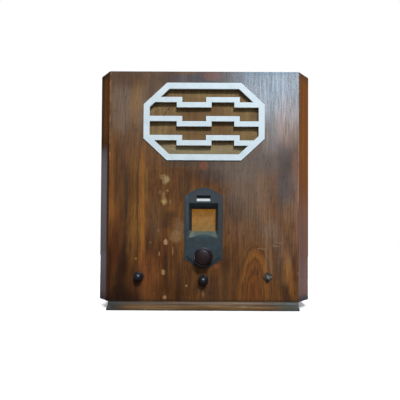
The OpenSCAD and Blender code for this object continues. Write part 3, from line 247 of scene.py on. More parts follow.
# The room: bright overhead and low down behind the set, dim in front of it, plain white to the camera
room = {"overhead": (0.50, 0.54, 0.60, 1), "level": (0.10, 0.10, 0.11, 1), "rearHigh": (0.06, 0.06, 0.07, 1),
        "rearLow": (0.42, 0.44, 0.54, 1), "rearEdge": (0.050, 0.115), "rearTilt": 0.06,
        "rearFrom": (-0.1, 0.5), "overheadFrom": (0.25, 0.9)}
world = bpy.data.worlds.new("room")
bpy.context.scene.world = world
air = Finish(world)
way = air.node("SeparateXYZ", {}, {0: air.node("TexCoord", output="Generated")})
wayOut = way.socket.node.outputs
aside, along, above = [Channel(air, wayOut[i]) for i in range(3)]
rear = air.mix(room["rearLow"], room["rearHigh"], (above + aside * room["rearTilt"]).rise(*room["rearEdge"]))
roomColour = air.mix(room["level"], rear, along.rise(*room["rearFrom"]))
roomColour = air.mix(roomColour, room["overhead"], above.rise(*room["overheadFrom"]))
seen = air.node("Background", {}, {0: (1, 1, 1, 1), 1: 1.0})
lit = air.node("Background", {}, {0: roomColour, 1: 1.0})
choice = air.node("MixShader", {}, {0: air.node("LightPath", output="Is Camera Ray"), 1: lit, 2: seen})
air.tree.links.new(choice.socket, air.tree.nodes["World Output"].inputs[0])
print("camera, floor and light placed")

# Front board: one sheet of figured veneer, worn and chipped on the left
veneer = {
    "tones": [(0.12, "36200f"), (0.34, "4f2f17"), (0.50, "663f1d"), (0.66, "794c22"), (0.88, "916032")],
    # The cathedral figure at the lower right; point 1 gives a sharp arch, 2 a round one
    "heart": {"middle": 0.0935, "lean": 0.05, "leanFrom": 0.06, "foot": 0.018, "peak": 0.150,
              "width": 0.0546, "power": 1.75, "point": 1.5, "reach": (0.030, 0.044),
              "tones": [(0.0, "6e3a18"), (0.10, "5a2f16"), (0.17, "7d471d"), (0.26, "4e2c17"),
                        (0.34, "7c481f"), (0.46, "5c361b"), (0.54, "8a5522"), (0.66, "7a4921"),
                        (0.76, "4f301c"), (0.84, "7c502a"), (0.92, "573821"), (1.0, "6a4829")]},
    "ringScale": 105,
    "grain": {  # how often each noise turns in a metre along x and z
        "slow": (11, 5), "waver": (60, 14), "ripple": (35, 48), "long": (44, 7), "mottle": (80, 55),
        "lines": (380, 20), "fine": (900, 30), "pores": (1500, 80), "chips": (170, 150),
        "flecks": (300, 260), "arris": (240, 75)},
    "bends": {"slow": 0.012, "waver": 0.003, "ripple": 0.0026},  # how far they push the grain aside
    "toneShare": {"figure": 0.22, "long": 0.36, "mottle": 0.28, "lines": 0.13, "fine": 0.12, "base": 0.355},
    "streaks": [  # colour, x and z at the top, x and z at the foot, half width, strength
        ("8b5824", -0.1700, 0.310, -0.1712, 0.165, 0.0062, 0.85),
        ("6e3b1d", -0.1585, 0.185, -0.1610, 0.085, 0.0070, 0.65),
        ("4c2e28", -0.1625, 0.300, -0.1620, 0.200, 0.0030, 0.55),
        ("5e4820", -0.1555, 0.300, -0.1550, 0.215, 0.0024, 0.50),
        ("58323a", -0.1485, 0.300, -0.1480, 0.215, 0.0026, 0.50),
        ("342a1c", -0.1425, 0.265, -0.1440, 0.170, 0.0042, 0.70),
        ("281c14", -0.1430, 0.200, -0.1480, 0.075, 0.0028, 0.62),
        ("2c1c18", -0.1500, 0.105, -0.1570, 0.030, 0.0075, 0.55),
        ("8a5624", -0.1118, 0.240, -0.1122, 0.110, 0.0022, 0.60),
        ("7c3f1e", -0.1690, 0.150, -0.1720, 0.060, 0.0030, 0.55),
        ("743e18", -0.1655, 0.110, -0.1735, 0.035, 0.0020, 0.75),
        ("22150d", -0.1725, 0.120, -0.1752, 0.010, 0.0028, 0.55),
        ("80531f", -0.1300, 0.295, -0.1310, 0.070, 0.0045, 0.60),
        ("965f28", -0.1135, 0.290, -0.1150, 0.080, 0.0055, 0.82),
        ("4a2f1a", -0.1218, 0.270, -0.1222, 0.090, 0.0014, 0.65),
        ("84502c", -0.0985, 0.215, -0.0900, 0.160, 0.0040, 0.35),
        ("8a6632", -0.1045, 0.255, -0.1050, 0.200, 0.0026, 0.50),
        ("3a2418", -0.0960, 0.160, -0.0990, 0.095, 0.0060, 0.50),
        ("2c1d14", -0.0620, 0.180, -0.0720, 0.150, 0.0090, 0.55),
        ("7a441e", -0.0780, 0.145, -0.0770, 0.030, 0.0016, 0.70),
        ("814a22", -0.0655, 0.150, -0.0640, 0.040, 0.0014, 0.65),
        ("7d4722", -0.0585, 0.125, -0.0580, 0.035, 0.0012, 0.65),
        ("2f1c12", -0.0710, 0.110, -0.0700, 0.030, 0.0030, 0.60),
        ("7c4a20", -0.1060, 0.070, -0.0900, 0.008, 0.0100, 0.45),
        ("2e1c12", -0.0480, 0.085, -0.0470, 0.010, 0.0045, 0.50),
        ("865530", 0.0505, 0.158, 0.0515, 0.012, 0.0018, 0.60),
        ("865530", 0.0672, 0.153, 0.0690, 0.012, 0.0018, 0.60),
        ("7a4c2a", 0.0590, 0.150, 0.0600, 0.012, 0.0050, 0.45),
        ("2c2018", 0.0385, 0.105, 0.0400, 0.008, 0.0050, 0.55),
        ("633419", 0.0220, 0.085, 0.0230, 0.010, 0.0065, 0.60),
        ("34302f", 0.1500, 0.295, 0.1470, 0.185, 0.0115, 0.74),
        ("2a2422", 0.1430, 0.205, 0.1422, 0.100, 0.0030, 0.62),
        ("352720", 0.1345, 0.120, 0.1395, 0.060, 0.0060, 0.45),
        ("271a14", 0.1490, 0.080, 0.1590, 0.006, 0.0080, 0.65),
        ("8d5728", 0.1545, 0.110, 0.1650, 0.030, 0.0050, 0.80),
        ("855a45", 0.1707, 0.280, 0.1712, 0.115, 0.0045, 0.80),
        ("8a5d3b", 0.1055, 0.262, 0.1090, 0.160, 0.0080, 0.65),
        ("96704c", 0.1130, 0.185, 0.1172, 0.062, 0.0024, 0.42),
        ("8f6a49", 0.1200, 0.180, 0.1260, 0.060, 0.0035, 0.50),
        ("332b29", 0.1005, 0.178, 0.1040, 0.140, 0.0045, 0.40),
        ("4a3526", -0.1540, 0.440, -0.1560, 0.350, 0.0080, 0.50),
        ("86602f", -0.1250, 0.425, -0.1270, 0.370, 0.0080, 0.50),
        ("4a3a2e", -0.0950, 0.440, -0.0980, 0.380, 0.0070, 0.45),
        ("40322a", 0.1240, 0.440, 0.1260, 0.330, 0.0050, 0.45),
        # the last three streaks paint a highlight along the right arris
        ("77675a", 0.1752, 0.440, 0.1756, 0.250, 0.0015, 0.60),
        ("b48e72", 0.1748, 0.305, 0.1750, 0.190, 0.0011, 0.75),
        ("96623e", 0.1750, 0.190, 0.1752, 0.090, 0.0009, 0.50),
    ],
    "patches": [  # colour, x, z, half width, half height, strength
        ("8a6c46", -0.0712, 0.2400, 0.0080, 0.0090, 0.75),
        ("a28a62", -0.0695, 0.2405, 0.0040, 0.0062, 0.70), ("96683e", -0.0775, 0.2475, 0.0060, 0.0020, 0.60),
        ("86683f", -0.0790, 0.2440, 0.0030, 0.0030, 0.70),
        ("8a6b42", -0.0672, 0.2190, 0.0028, 0.0028, 0.75),
        ("86673f", -0.0745, 0.2110, 0.0030, 0.0062, 0.75),
        ("92703f", -0.0732, 0.1995, 0.0058, 0.0070, 0.80),
        ("ab8f56", -0.0738, 0.1990, 0.0030, 0.0040, 0.70), ("86685c", -0.0815, 0.2165, 0.0026, 0.0040, 0.45),
        ("846a45", -0.0620, 0.1985, 0.0022, 0.0045, 0.50),
        ("7c5a40", -0.0450, 0.1500, 0.0090, 0.0170, 0.60),
        ("8a6640", -0.0505, 0.1345, 0.0105, 0.0120, 0.70),
        ("a8855c", -0.0698, 0.1245, 0.0036, 0.0058, 0.85),
        ("84604a", -0.0836, 0.1447, 0.0026, 0.0036, 0.45),
        ("8c6a44", -0.0980, 0.1230, 0.0018, 0.0022, 0.50),
        ("a07a56", -0.0816, 0.1025, 0.0018, 0.0040, 0.70),
        ("9c7650", -0.0565, 0.1070, 0.0012, 0.0075, 0.70),
        ("a37f50", -0.0740, 0.0685, 0.0036, 0.0048, 0.85),
        ("a07440", -0.1248, 0.0930, 0.0025, 0.0025, 0.60),
        ("a5764e", -0.0713, 0.0220, 0.0038, 0.0034, 0.85),
        ("9c7656", -0.0310, 0.0437, 0.0020, 0.0022, 0.75),
        ("7e4630", -0.0005, 0.2655, 0.0085, 0.0085, 0.60),
        ("7e4c3a", 0.0140, 0.4330, 0.0190, 0.0080, 0.55),
        ("7c5430", -0.0300, 0.4400, 0.0150, 0.0030, 0.60),
        ("8a4a2a", 0.0245, 0.0800, 0.0060, 0.0045, 0.60),
        ("8f6448", -0.0002, 0.0280, 0.0024, 0.0060, 0.60),
        ("b39a80", 0.1765, 0.0680, 0.0020, 0.0015, 0.70),
    ],
    "scratches": [  # x and z at each end, half width
        (0.0990, 0.1128, 0.1180, 0.1112, 0.0005), (0.1255, 0.1180, 0.1410, 0.1172, 0.0006),
        (0.1265, 0.1300, 0.1290, 0.1190, 0.0004), (0.1330, 0.1240, 0.1450, 0.1232, 0.0004)],
    "shadows": [  # darkened areas: tint, x, z, half width, half height, strength
        ("8c7466", -0.165, 0.060, 0.024, 0.110, 0.72), ("8a7068", -0.135, 0.045, 0.022, 0.060, 0.62),
        ("a09488", -0.045, 0.050, 0.035, 0.060, 0.30), ("8f847c", 0.060, 0.060, 0.016, 0.075, 0.45),
        ("b0b4c0", 0.035, 0.430, 0.080, 0.020, 0.70), ("a0a4ac", -0.020, 0.268, 0.060, 0.028, 0.42),
        ("5c5048", -0.150, 0.004, 0.045, 0.040, 0.75), ("b4a89e", -0.065, 0.030, 0.040, 0.030, 0.55),
        ("c8d4ff", 0.014, 0.035, 0.022, 0.035, 0.90), ("c4b4b8", -0.128, 0.120, 0.018, 0.026, 0.35),
        ("c0c8dc", 0.060, 0.184, 0.026, 0.028, 0.35),
        ("c4b8b0", -0.163, 0.258, 0.018, 0.070, 0.62), ("d8d0c6", -0.145, 0.428, 0.038, 0.020, 0.85),
        ("c8c8d4", -0.066, 0.430, 0.024, 0.018, 0.80), ("ccccd8", -0.129, 0.228, 0.018, 0.034, 0.75),
        ("c4d2f0", -0.036, 0.226, 0.014, 0.030, 0.70), ("d4ccd6", 0.006, 0.244, 0.040, 0.016, 0.80),
        ("d2cccc", -0.070, 0.100, 0.022, 0.040, 0.80), ("f2dcd6", -0.100, 0.070, 0.028, 0.054, 0.90),
        ("a8a09c", 0.035, 0.095, 0.020, 0.030, 0.40), ("8c9098", 0.125, 0.4415, 0.070, 0.0075, 0.70),
    ],
    "tonesAndSheen": [  # areas of another tone, given the same way; the grey and blue-grey ones are painted sheen
        ("806c5c", -0.152, 0.375, 0.020, 0.055, 0.38), ("7d6c60", -0.120, 0.372, 0.014, 0.040, 0.20),
        ("655a50", 0.050, 0.266, 0.075, 0.036, 0.55), ("74604f", 0.085, 0.215, 0.045, 0.050, 0.38),
        ("625a54", 0.125, 0.278, 0.036, 0.030, 0.42), ("5c5248", -0.040, 0.278, 0.040, 0.018, 0.35),
        ("6c5e5c", 0.140, 0.305, 0.022, 0.024, 0.35), ("8a6236", -0.128, 0.376, 0.014, 0.036, 0.35),
        ("86684e", 0.157, 0.184, 0.016, 0.026, 0.30),
        ("805c42", 0.105, 0.165, 0.050, 0.040, 0.26), ("7c5c4a", 0.150, 0.150, 0.026, 0.070, 0.24),
        ("ab8670", 0.152, 0.350, 0.028, 0.050, 0.45), ("5a5a62", -0.018, 0.4280, 0.046, 0.0130, 0.50),
        ("8f7c74", 0.112, 0.372, 0.026, 0.030, 0.30), ("8a5c30", -0.160, 0.235, 0.014, 0.045, 0.20),
        ("84522a", -0.104, 0.060, 0.022, 0.046, 0.45), ("7d6250", 0.150, 0.090, 0.020, 0.050, 0.18),
        ("5a442e", -0.090, 0.165, 0.016, 0.040, 0.35), ("8a7c74", 0.122, 0.318, 0.018, 0.034, 0.45),
        ("6a6260", 0.155, 0.226, 0.024, 0.034, 0.32), ("7c685a", 0.122, 0.140, 0.022, 0.030, 0.30),
        ("6a5c52", 0.074, 0.190, 0.046, 0.080, 0.18), ("805628", -0.128, 0.138, 0.012, 0.030, 0.35),
        ("7c4a28", -0.124, 0.034, 0.014, 0.022, 0.45), ("925e2e", 0.156, 0.068, 0.011, 0.024, 0.45),
    ],
    "greyTop": "6a5a4b", "greyFrom": (0.22, 0.40), "violetRight": "6e5a54",
    "violetFrom": ((0.0, 0.10), (0.15, 0.27)), "scratch": "b79a72", "pore": "180f09",
    "fleck": "a17a50", "fleckMiddle": -0.085, "fleckReach": (0.01, 0.05),
    "rubbed": {"colour": "8c5a32", "x": -0.1745, "edge": (0.0006, 0.0036), "z": (0.235, 0.275),
               "broken": (0.38, 0.60), "strength": 0.7},
    "bare": {"colour": "a07c5c", "x": -0.1752, "edge": (0.0003, 0.0013), "z": (0.245, 0.30),
             "broken": (0.46, 0.66), "strength": 0.5},
    "edgeDark": "241a14", "darkFoot": (0.0145, 0.021), "darkTop": (0.437, 0.4412),
    "polishFrom": ((-0.03, 0.09), (0.26, 0.38)), "polishLeast": 0.03, "polishRough": 0.24,
    "gleam": 0.12, "rough": (0.36, 0.2), "lineDepth": 0.00010,
}


def streakMask(x, z, top, low, halfWidth):  # a soft upright stripe between two points
    along = z.rise(low[1], top[1])
    centre = along * (top[0] - low[0]) + low[0]
    side = 1 - abs(x - centre).rise(halfWidth * 0.35, halfWidth * 1.6)
    fade = (top[1] - low[1]) * 0.2
    return side * z.rise(low[1] - fade, low[1] + fade) * (1 - z.rise(top[1] - fade, top[1] + fade))


def patchMask(x, z, middle, halfWidth, halfHeight, ragged):  # a chip with a broken edge
    across = ((x - middle[0]) / halfWidth) ** 2.0
    up = ((z - middle[1]) / halfHeight) ** 2.0
    return 1 - (across + up + ragged).rise(0.35, 1.55)


def areaMask(x, z, middle, halfWidth, halfHeight):  # a wide area that fades out
    across = ((x - middle[0]) / halfWidth) ** 2.0
    up = ((z - middle[1]) / halfHeight) ** 2.0
    return 1 - (across + up).rise(0.0, 1.5)


def scratchMask(x, z, first, second, halfWidth):
    dx, dz = second[0] - first[0], second[1] - first[1]
    length = (dx * dx + dz * dz) ** 0.5
    ux, uz = dx / length, dz / length
    along = (x - first[0]) * ux + (z - first[1]) * uz
    aside = abs((x - first[0]) * uz - (z - first[1]) * ux)
    within = 1 - abs(along - length / 2).rise(length * 0.4, length * 0.5)
    return (1 - aside.rise(halfWidth * 0.5, halfWidth * 1.4)) * within


def frontVeneer(plan):
    finish = newFinish("frontVeneer")
    x, y, z = finish.axes()

    def grain(name, *looks):
        turnsX, turnsZ = plan["grain"][name]
        return finish.noise(finish.scaled(turnsX, 1, turnsZ), 1.0, *looks)

    slow = grain("slow", 2)
    waver = grain("waver", 2)
    ripple = grain("ripple", 2)
    bends = plan["bends"]
    xBent = x + (slow - 0.5) * bends["slow"] + (waver - 0.5) * bends["waver"] \
        + (ripple - 0.5) * bends["ripple"]
    # The marks are hardly moved by this, but with it Cycles works them out one by one, within its memory
    xNear = x + (waver - 0.5) * 0.0006
    zNear = z + (slow - 0.5) * 0.002
    heart = plan["heart"]
    climb = finish.node("MapRange", {}, {"Value": z, "From Min": heart["foot"], "From Max": heart["peak"],
                                         "To Min": 0.0, "To Max": 1.0})
    off = xBent - heart["middle"] - (z - heart["leanFrom"]) * heart["lean"]
    point = heart["point"]
    rings = (abs(off) ** point + (climb ** heart["power"] * heart["width"]) ** point) ** (1 / point)
    figure = finish.lineNoise(rings, plan["ringScale"], 3)
    long = grain("long", 3, 0.5)
    mottle = grain("mottle", 3, 0.6)
    lines = grain("lines", 3, 0.65, 0.25)
    lineSharp = lines.rise(0.36, 0.64)
    fine = grain("fine", 3, 0.6).rise(0.36, 0.64)
    pores = grain("pores", 2, 0.5)
    share = plan["toneShare"]
    tone = (figure - 0.5) * share["figure"] + (long - 0.5) * share["long"] \
        + (mottle - 0.5) * share["mottle"] + lineSharp * share["lines"] + fine * share["fine"] + share["base"]
    colour = finish.ramp(tone, *plan["tones"])
    upper = z.rise(*plan["greyFrom"])
    colour = finish.mix(colour, shade(plan["greyTop"]), upper * (0.25 + long * 0.4))
    fromX, fromZ = plan["violetFrom"]
    rightSide = x.rise(*fromX) * z.rise(*fromZ)
    colour = finish.mix(colour, shade(plan["violetRight"]), rightSide * (0.2 + long * 0.5))
    ragged = (lineSharp - 0.5) * 0.09 + (fine - 0.5) * 0.05 + (long - 0.5) * 0.25
    flame = finish.ramp(rings / heart["reach"][1] + ragged, *heart["tones"])
    inHeart = (1 - rings.rise(*heart["reach"])) * z.rise(0.0, 0.03)
    colour = finish.mix(colour, flame, inHeart * (0.78 + lineSharp * 0.2))
    for code, xTop, zTop, xLow, zLow, halfWidth, strength in plan["streaks"]:
        mask = streakMask(xBent, zNear, (xTop, zTop), (xLow, zLow), halfWidth)
        colour = finish.mix(colour, shade(code), mask * strength * (0.5 + lineSharp * 0.6))
    for code, px, pz, halfWidth, halfHeight, strength in plan["tonesAndSheen"]:
        mask = areaMask(xBent, zNear, (px, pz), halfWidth, halfHeight)
        colour = finish.mix(colour, shade(code), mask * strength * (0.5 + lineSharp))
    for code, px, pz, halfWidth, halfHeight, strength in plan["shadows"]:
        mask = areaMask(xBent, zNear, (px, pz), halfWidth, halfHeight)
        colour = finish.mix(colour, shade(code), mask * strength, "MULTIPLY")
    ragged = (grain("chips", 4, 0.7) - 0.5) * 3.4
    for code, px, pz, halfWidth, halfHeight, strength in plan["patches"]:
        mask = patchMask(xNear, zNear, (px, pz), halfWidth, halfHeight, ragged)
        colour = finish.mix(colour, shade(code), mask * strength * (0.55 + lines * 0.5 + fine * 0.3))
    for ax, az, bx, bz, halfWidth in plan["scratches"]:
        mask = scratchMask(xNear, zNear, (ax, az), (bx, bz), halfWidth)
        colour = finish.mix(colour, shade(plan["scratch"]), mask * lines.rise(0.4, 0.55) * 0.5)
    flecks = grain("flecks", 2).rise(0.71, 0.77)
    nearFlecks = 1 - abs(x - plan["fleckMiddle"]).rise(*plan["fleckReach"])
    colour = finish.mix(colour, shade(plan["fleck"]), flecks * nearFlecks * 0.55)
    colour = finish.mix(colour, shade(plan["pore"]), pores.rise(0.56, 0.70) * 0.45)
    arris = grain("arris", 4, 0.65)
    for worn in (plan["rubbed"], plan["bare"]):  # the left edge, rubbed and then bare wood
        mask = (1 - abs(x - worn["x"]).rise(*worn["edge"])) * z.rise(*worn["z"])
        mask = mask * arris.rise(*worn["broken"]) * worn["strength"]
        colour = finish.mix(colour, shade(worn["colour"]), mask)
    # darker along the foot and along the top edge
    rim = (1 - z.rise(*plan["darkFoot"])).largest(z.rise(*plan["darkTop"]) * 0.4)
    colour = finish.mix(colour, shade(plan["edgeDark"]), rim * 0.6)
    height = lines - pores.rise(0.55, 0.75) * 0.8 + figure * 0.5
    fromX, fromZ = plan["polishFrom"]
    polish = x.rise(*fromX) * z.rise(*fromZ) * (0.35 + long * 0.25 + lineSharp * 0.5 + fine * 0.4)
    smooth, spread = plan["rough"]
    return finish.surface({
        "Base Color": colour, "Roughness": lines * spread + smooth,
        "Normal": finish.bump(height, plan["lineDepth"]), "Specular IOR Level": plan["gleam"],
        "Coat Weight": polish + plan["polishLeast"], "Coat Roughness": plan["polishRough"]})


dress(frontVeneer(veneer), "front_panel")
print("front veneer made")


# Straight-grained wood for the rest of the case
def timber(name, plan):
    finish = newFinish(name)
    stretch = [0.035 if axis == plan["grain"] else 1 for axis in "xyz"]
    rings = finish.noise(finish.scaled(*[s * plan["figure"] for s in stretch]), 1.0, 4, 0.6, 0.3)
    lines = finish.noise(finish.scaled(*[s * 420 for s in stretch]), 1.0, 3, 0.6)
    pores = finish.noise(finish.scaled(*[s * 1500 for s in stretch]), 1.0, 2)
    cloud = finish.noise(finish.scaled(7, 7, 7), 1.0, 3)
    colour = finish.ramp(rings * 0.6 + lines * 0.35 + cloud * 0.1, *plan["tones"])
    colour = finish.mix(colour, shade(plan["pore"]), pores.rise(0.56, 0.72) * 0.4)
    colour = finish.washed(colour, plan.get("tintsAndPaintedLight", []), cloud)
    dents = finish.noise(finish.scaled(45, 45, 45), 1.0, 2).rise(0.68, 0.76)
    colour = finish.mix(colour, shade(plan["worn"]), dents * plan["wear"])
    values = {"Base Color": colour, "Roughness": lines * 0.2 + plan["rough"],
              "Normal": finish.bump(lines * 0.6 - pores.rise(0.55, 0.75), plan["depth"]),
              "Specular IOR Level": plan.get("gleam", 0.2), "Coat Roughness": 0.10}
    if "gloss" in plan:
        gloss = plan["gloss"]["most"]
        for axis, low, high in plan["gloss"]["where"]:
            gloss = finish.axes()["xyz".index(axis)].rise(low, high) * gloss
        values["Coat Weight"] = gloss
    return finish.surface(values)


walnutTones = [(0.25, "2e1c12"), (0.45, "4a2e1b"), (0.6, "5f3d22"), (0.8, "7a5230")]
timbers = {
    "leftCant": (["left_cant"], {
                 "grain": "z", "figure": 70,
                 "tones": [(0.25, "4a2c18"), (0.45, "6d4629"), (0.6, "825431"), (0.8, "946439")],
                 "pore": "160e08", "worn": "7e5f40", "wear": 0.35, "rough": 0.34, "depth": 0.00005,
                 "gleam": 0.0,
                 # the last tint darkens the foot of the cant: painted shade
                 "tintsAndPaintedLight": [("150e0a", "z", 0.34, 0.29, 0.45), ("3a3222", "x", -0.187, -0.1985, 0.60),
                            ("2c2a24", "z", 0.424, 0.440, 0.6), ("100c0e", "z", 0.030, 0.014, 1.0)],
                 "gloss": {"most": 0.78, "where": [("z", -0.14, 0.25), ("z", 0.312, 0.290),
                                                   ("x", -0.1785, -0.1850)]}}),
    "rightCant": (["right_cant"], {"grain": "z", "figure": 70,
                  "tones": [(0.25, "562e0e"), (0.5, "8c4f1b"), (0.8, "aa6a2a")], "pore": "2a180d",
                  "worn": "8e6a48", "wear": 0.25, "rough": 0.36, "depth": 0.00005, "gleam": 0.06,
                  # the last tint darkens the foot of the cant: painted shade
                  "tintsAndPaintedLight": [("40200e", "z", 0.26, 0.12, 0.35), ("4a3c30", "z", 0.420, 0.440, 0.6),
                             ("6e5442", "x", 0.1850, 0.1775, 0.40), ("2c2428", "z", 0.032, 0.016, 0.9)],
                  "gloss": {"most": 0.45, "where": [("z", -2, -1)]}}),
    "sideVeneer": (["left_side", "right_side"], {"grain": "z", "figure": 55, "tones": walnutTones,
                   "pore": "160e08", "worn": "7e5f40", "wear": 0.3, "rough": 0.36, "depth": 0.00005,
                   "tintsAndPaintedLight": [("6b4526", "y", -0.08, 0.13, 0.3)]}),
    "topVeneer": (["top_panel"], {"grain": "x", "figure": 55, "tones": walnutTones, "pore": "160e08",
                  "worn": "87684a", "wear": 0.45, "rough": 0.40, "depth": 0.00005}),
    "baseBoard": (["bottom_board"], {"grain": "x", "figure": 90,
                  "tones": [(0.3, "6b5034"), (0.55, "8d6d48"), (0.8, "a5855c")], "pore": "4a3420",
                  "worn": "5c4630", "wear": 0.3, "rough": 0.7, "depth": 0.0001}),
    "baffleBoard": (["speaker_baffle"], {"grain": "x", "figure": 80,
                    "tones": [(0.3, "7d6240"), (0.55, "987a52"), (0.8, "ad9068")], "pore": "57401f",
                    "worn": "5c4630", "wear": 0.3, "rough": 0.75, "depth": 0.0001}),
    "battens": (["battens_and_blocks"], {"grain": "z", "figure": 60,
                "tones": [(0.3, "9a7a4e"), (0.55, "b5945f"), (0.8, "c6a875")], "pore": "7d5f39",
                "worn": "6f5232", "wear": 0.3, "rough": 0.75, "depth": 0.0001}),
    "plinth": (["plinth_moulding"], {"grain": "x", "figure": 150,
               "tones": [(0.30, "22160c"), (0.44, "47301b"), (0.56, "6a4d31"), (0.70, "967855")],
               "pore": "1e140d", "worn": "9a8468", "wear": 0.4, "rough": 0.34, "depth": 0.00008,
               # these tints are painted reflection: grey on the cove above the nose, dark teal at the left
               # end, blue-grey at the right end
               "tintsAndPaintedLight": [("565856", "z", 0.005, 0.013, 0.20), ("22302f", "x", -0.130, -0.168, 0.8),
                          ("3c4a48", "x", 0.115, 0.165, 0.7)]}),
    "runners": (["plinth_runners"], {"grain": "y", "figure": 60,
                "tones": [(0.3, "2d2118"), (0.55, "44321f"), (0.8, "5b462e")], "pore": "1a120b",
                "worn": "6b5640", "wear": 0.3, "rough": 0.6, "depth": 0.0001}),
}
for name, (names, plan) in timbers.items():
    dress(timber(name, plan), *names)
print("wood dressed")


# Plain materials: a mottled colour, a finer speckle, uneven gloss and a shallow texture
def plain(name, plan):
    finish = newFinish(name)
    cloud = finish.noise(finish.where(), plan.get("cloud", 60), 4, 0.6)
    speck = finish.noise(finish.where(), plan.get("speck", 900), 3)
    stops = [(0.3 + 0.4 * i / (len(plan["tones"]) - 1), code) for i, code in enumerate(plan["tones"])]
    colour = finish.ramp(cloud * 0.8 + speck * 0.2, *stops)
    if "stain" in plan:
        code, low, high, strength = plan["stain"]
        dirt = finish.noise(finish.where(), plan.get("dirt", 35), 5, 0.65)
        colour = finish.mix(colour, shade(code), dirt.rise(low, high) * strength)
    colour = finish.washed(colour, plan.get("tintsAndPaintedLight", []), cloud)
    # a painted highlight: a pale arc on the lower left of a ring about the knob's middle
    if "paintedRimHighlight" in plan:
        code, middleX, middleZ, radius, halfWidth = plan["paintedRimHighlight"]
        x, y, z = finish.axes()
        away = ((x - middleX) ** 2.0 + (z - middleZ) ** 2.0) ** 0.5
        lowerLeft = ((middleX - x) * 0.8 + (middleZ - z)).rise(0.005, 0.017)
        dust = 1 - abs(away - radius).rise(halfWidth * 0.4, halfWidth)
        colour = finish.mix(colour, shade(code), dust * lowerLeft * 0.85)
    low, high = plan["rough"]
    values = {"Base Color": colour, "Roughness": cloud * (high - low) + low,
              "Normal": finish.bump(speck * 0.5 + cloud, plan.get("depth", 0.00004))}
    for key, socket in {"metal": "Metallic", "coat": "Coat Weight", "alpha": "Alpha",
                        "gleam": "Specular IOR Level", "sheen": "Sheen Weight"}.items():
        if key in plan:
            values[socket] = plan[key]
    return finish.surface(values)


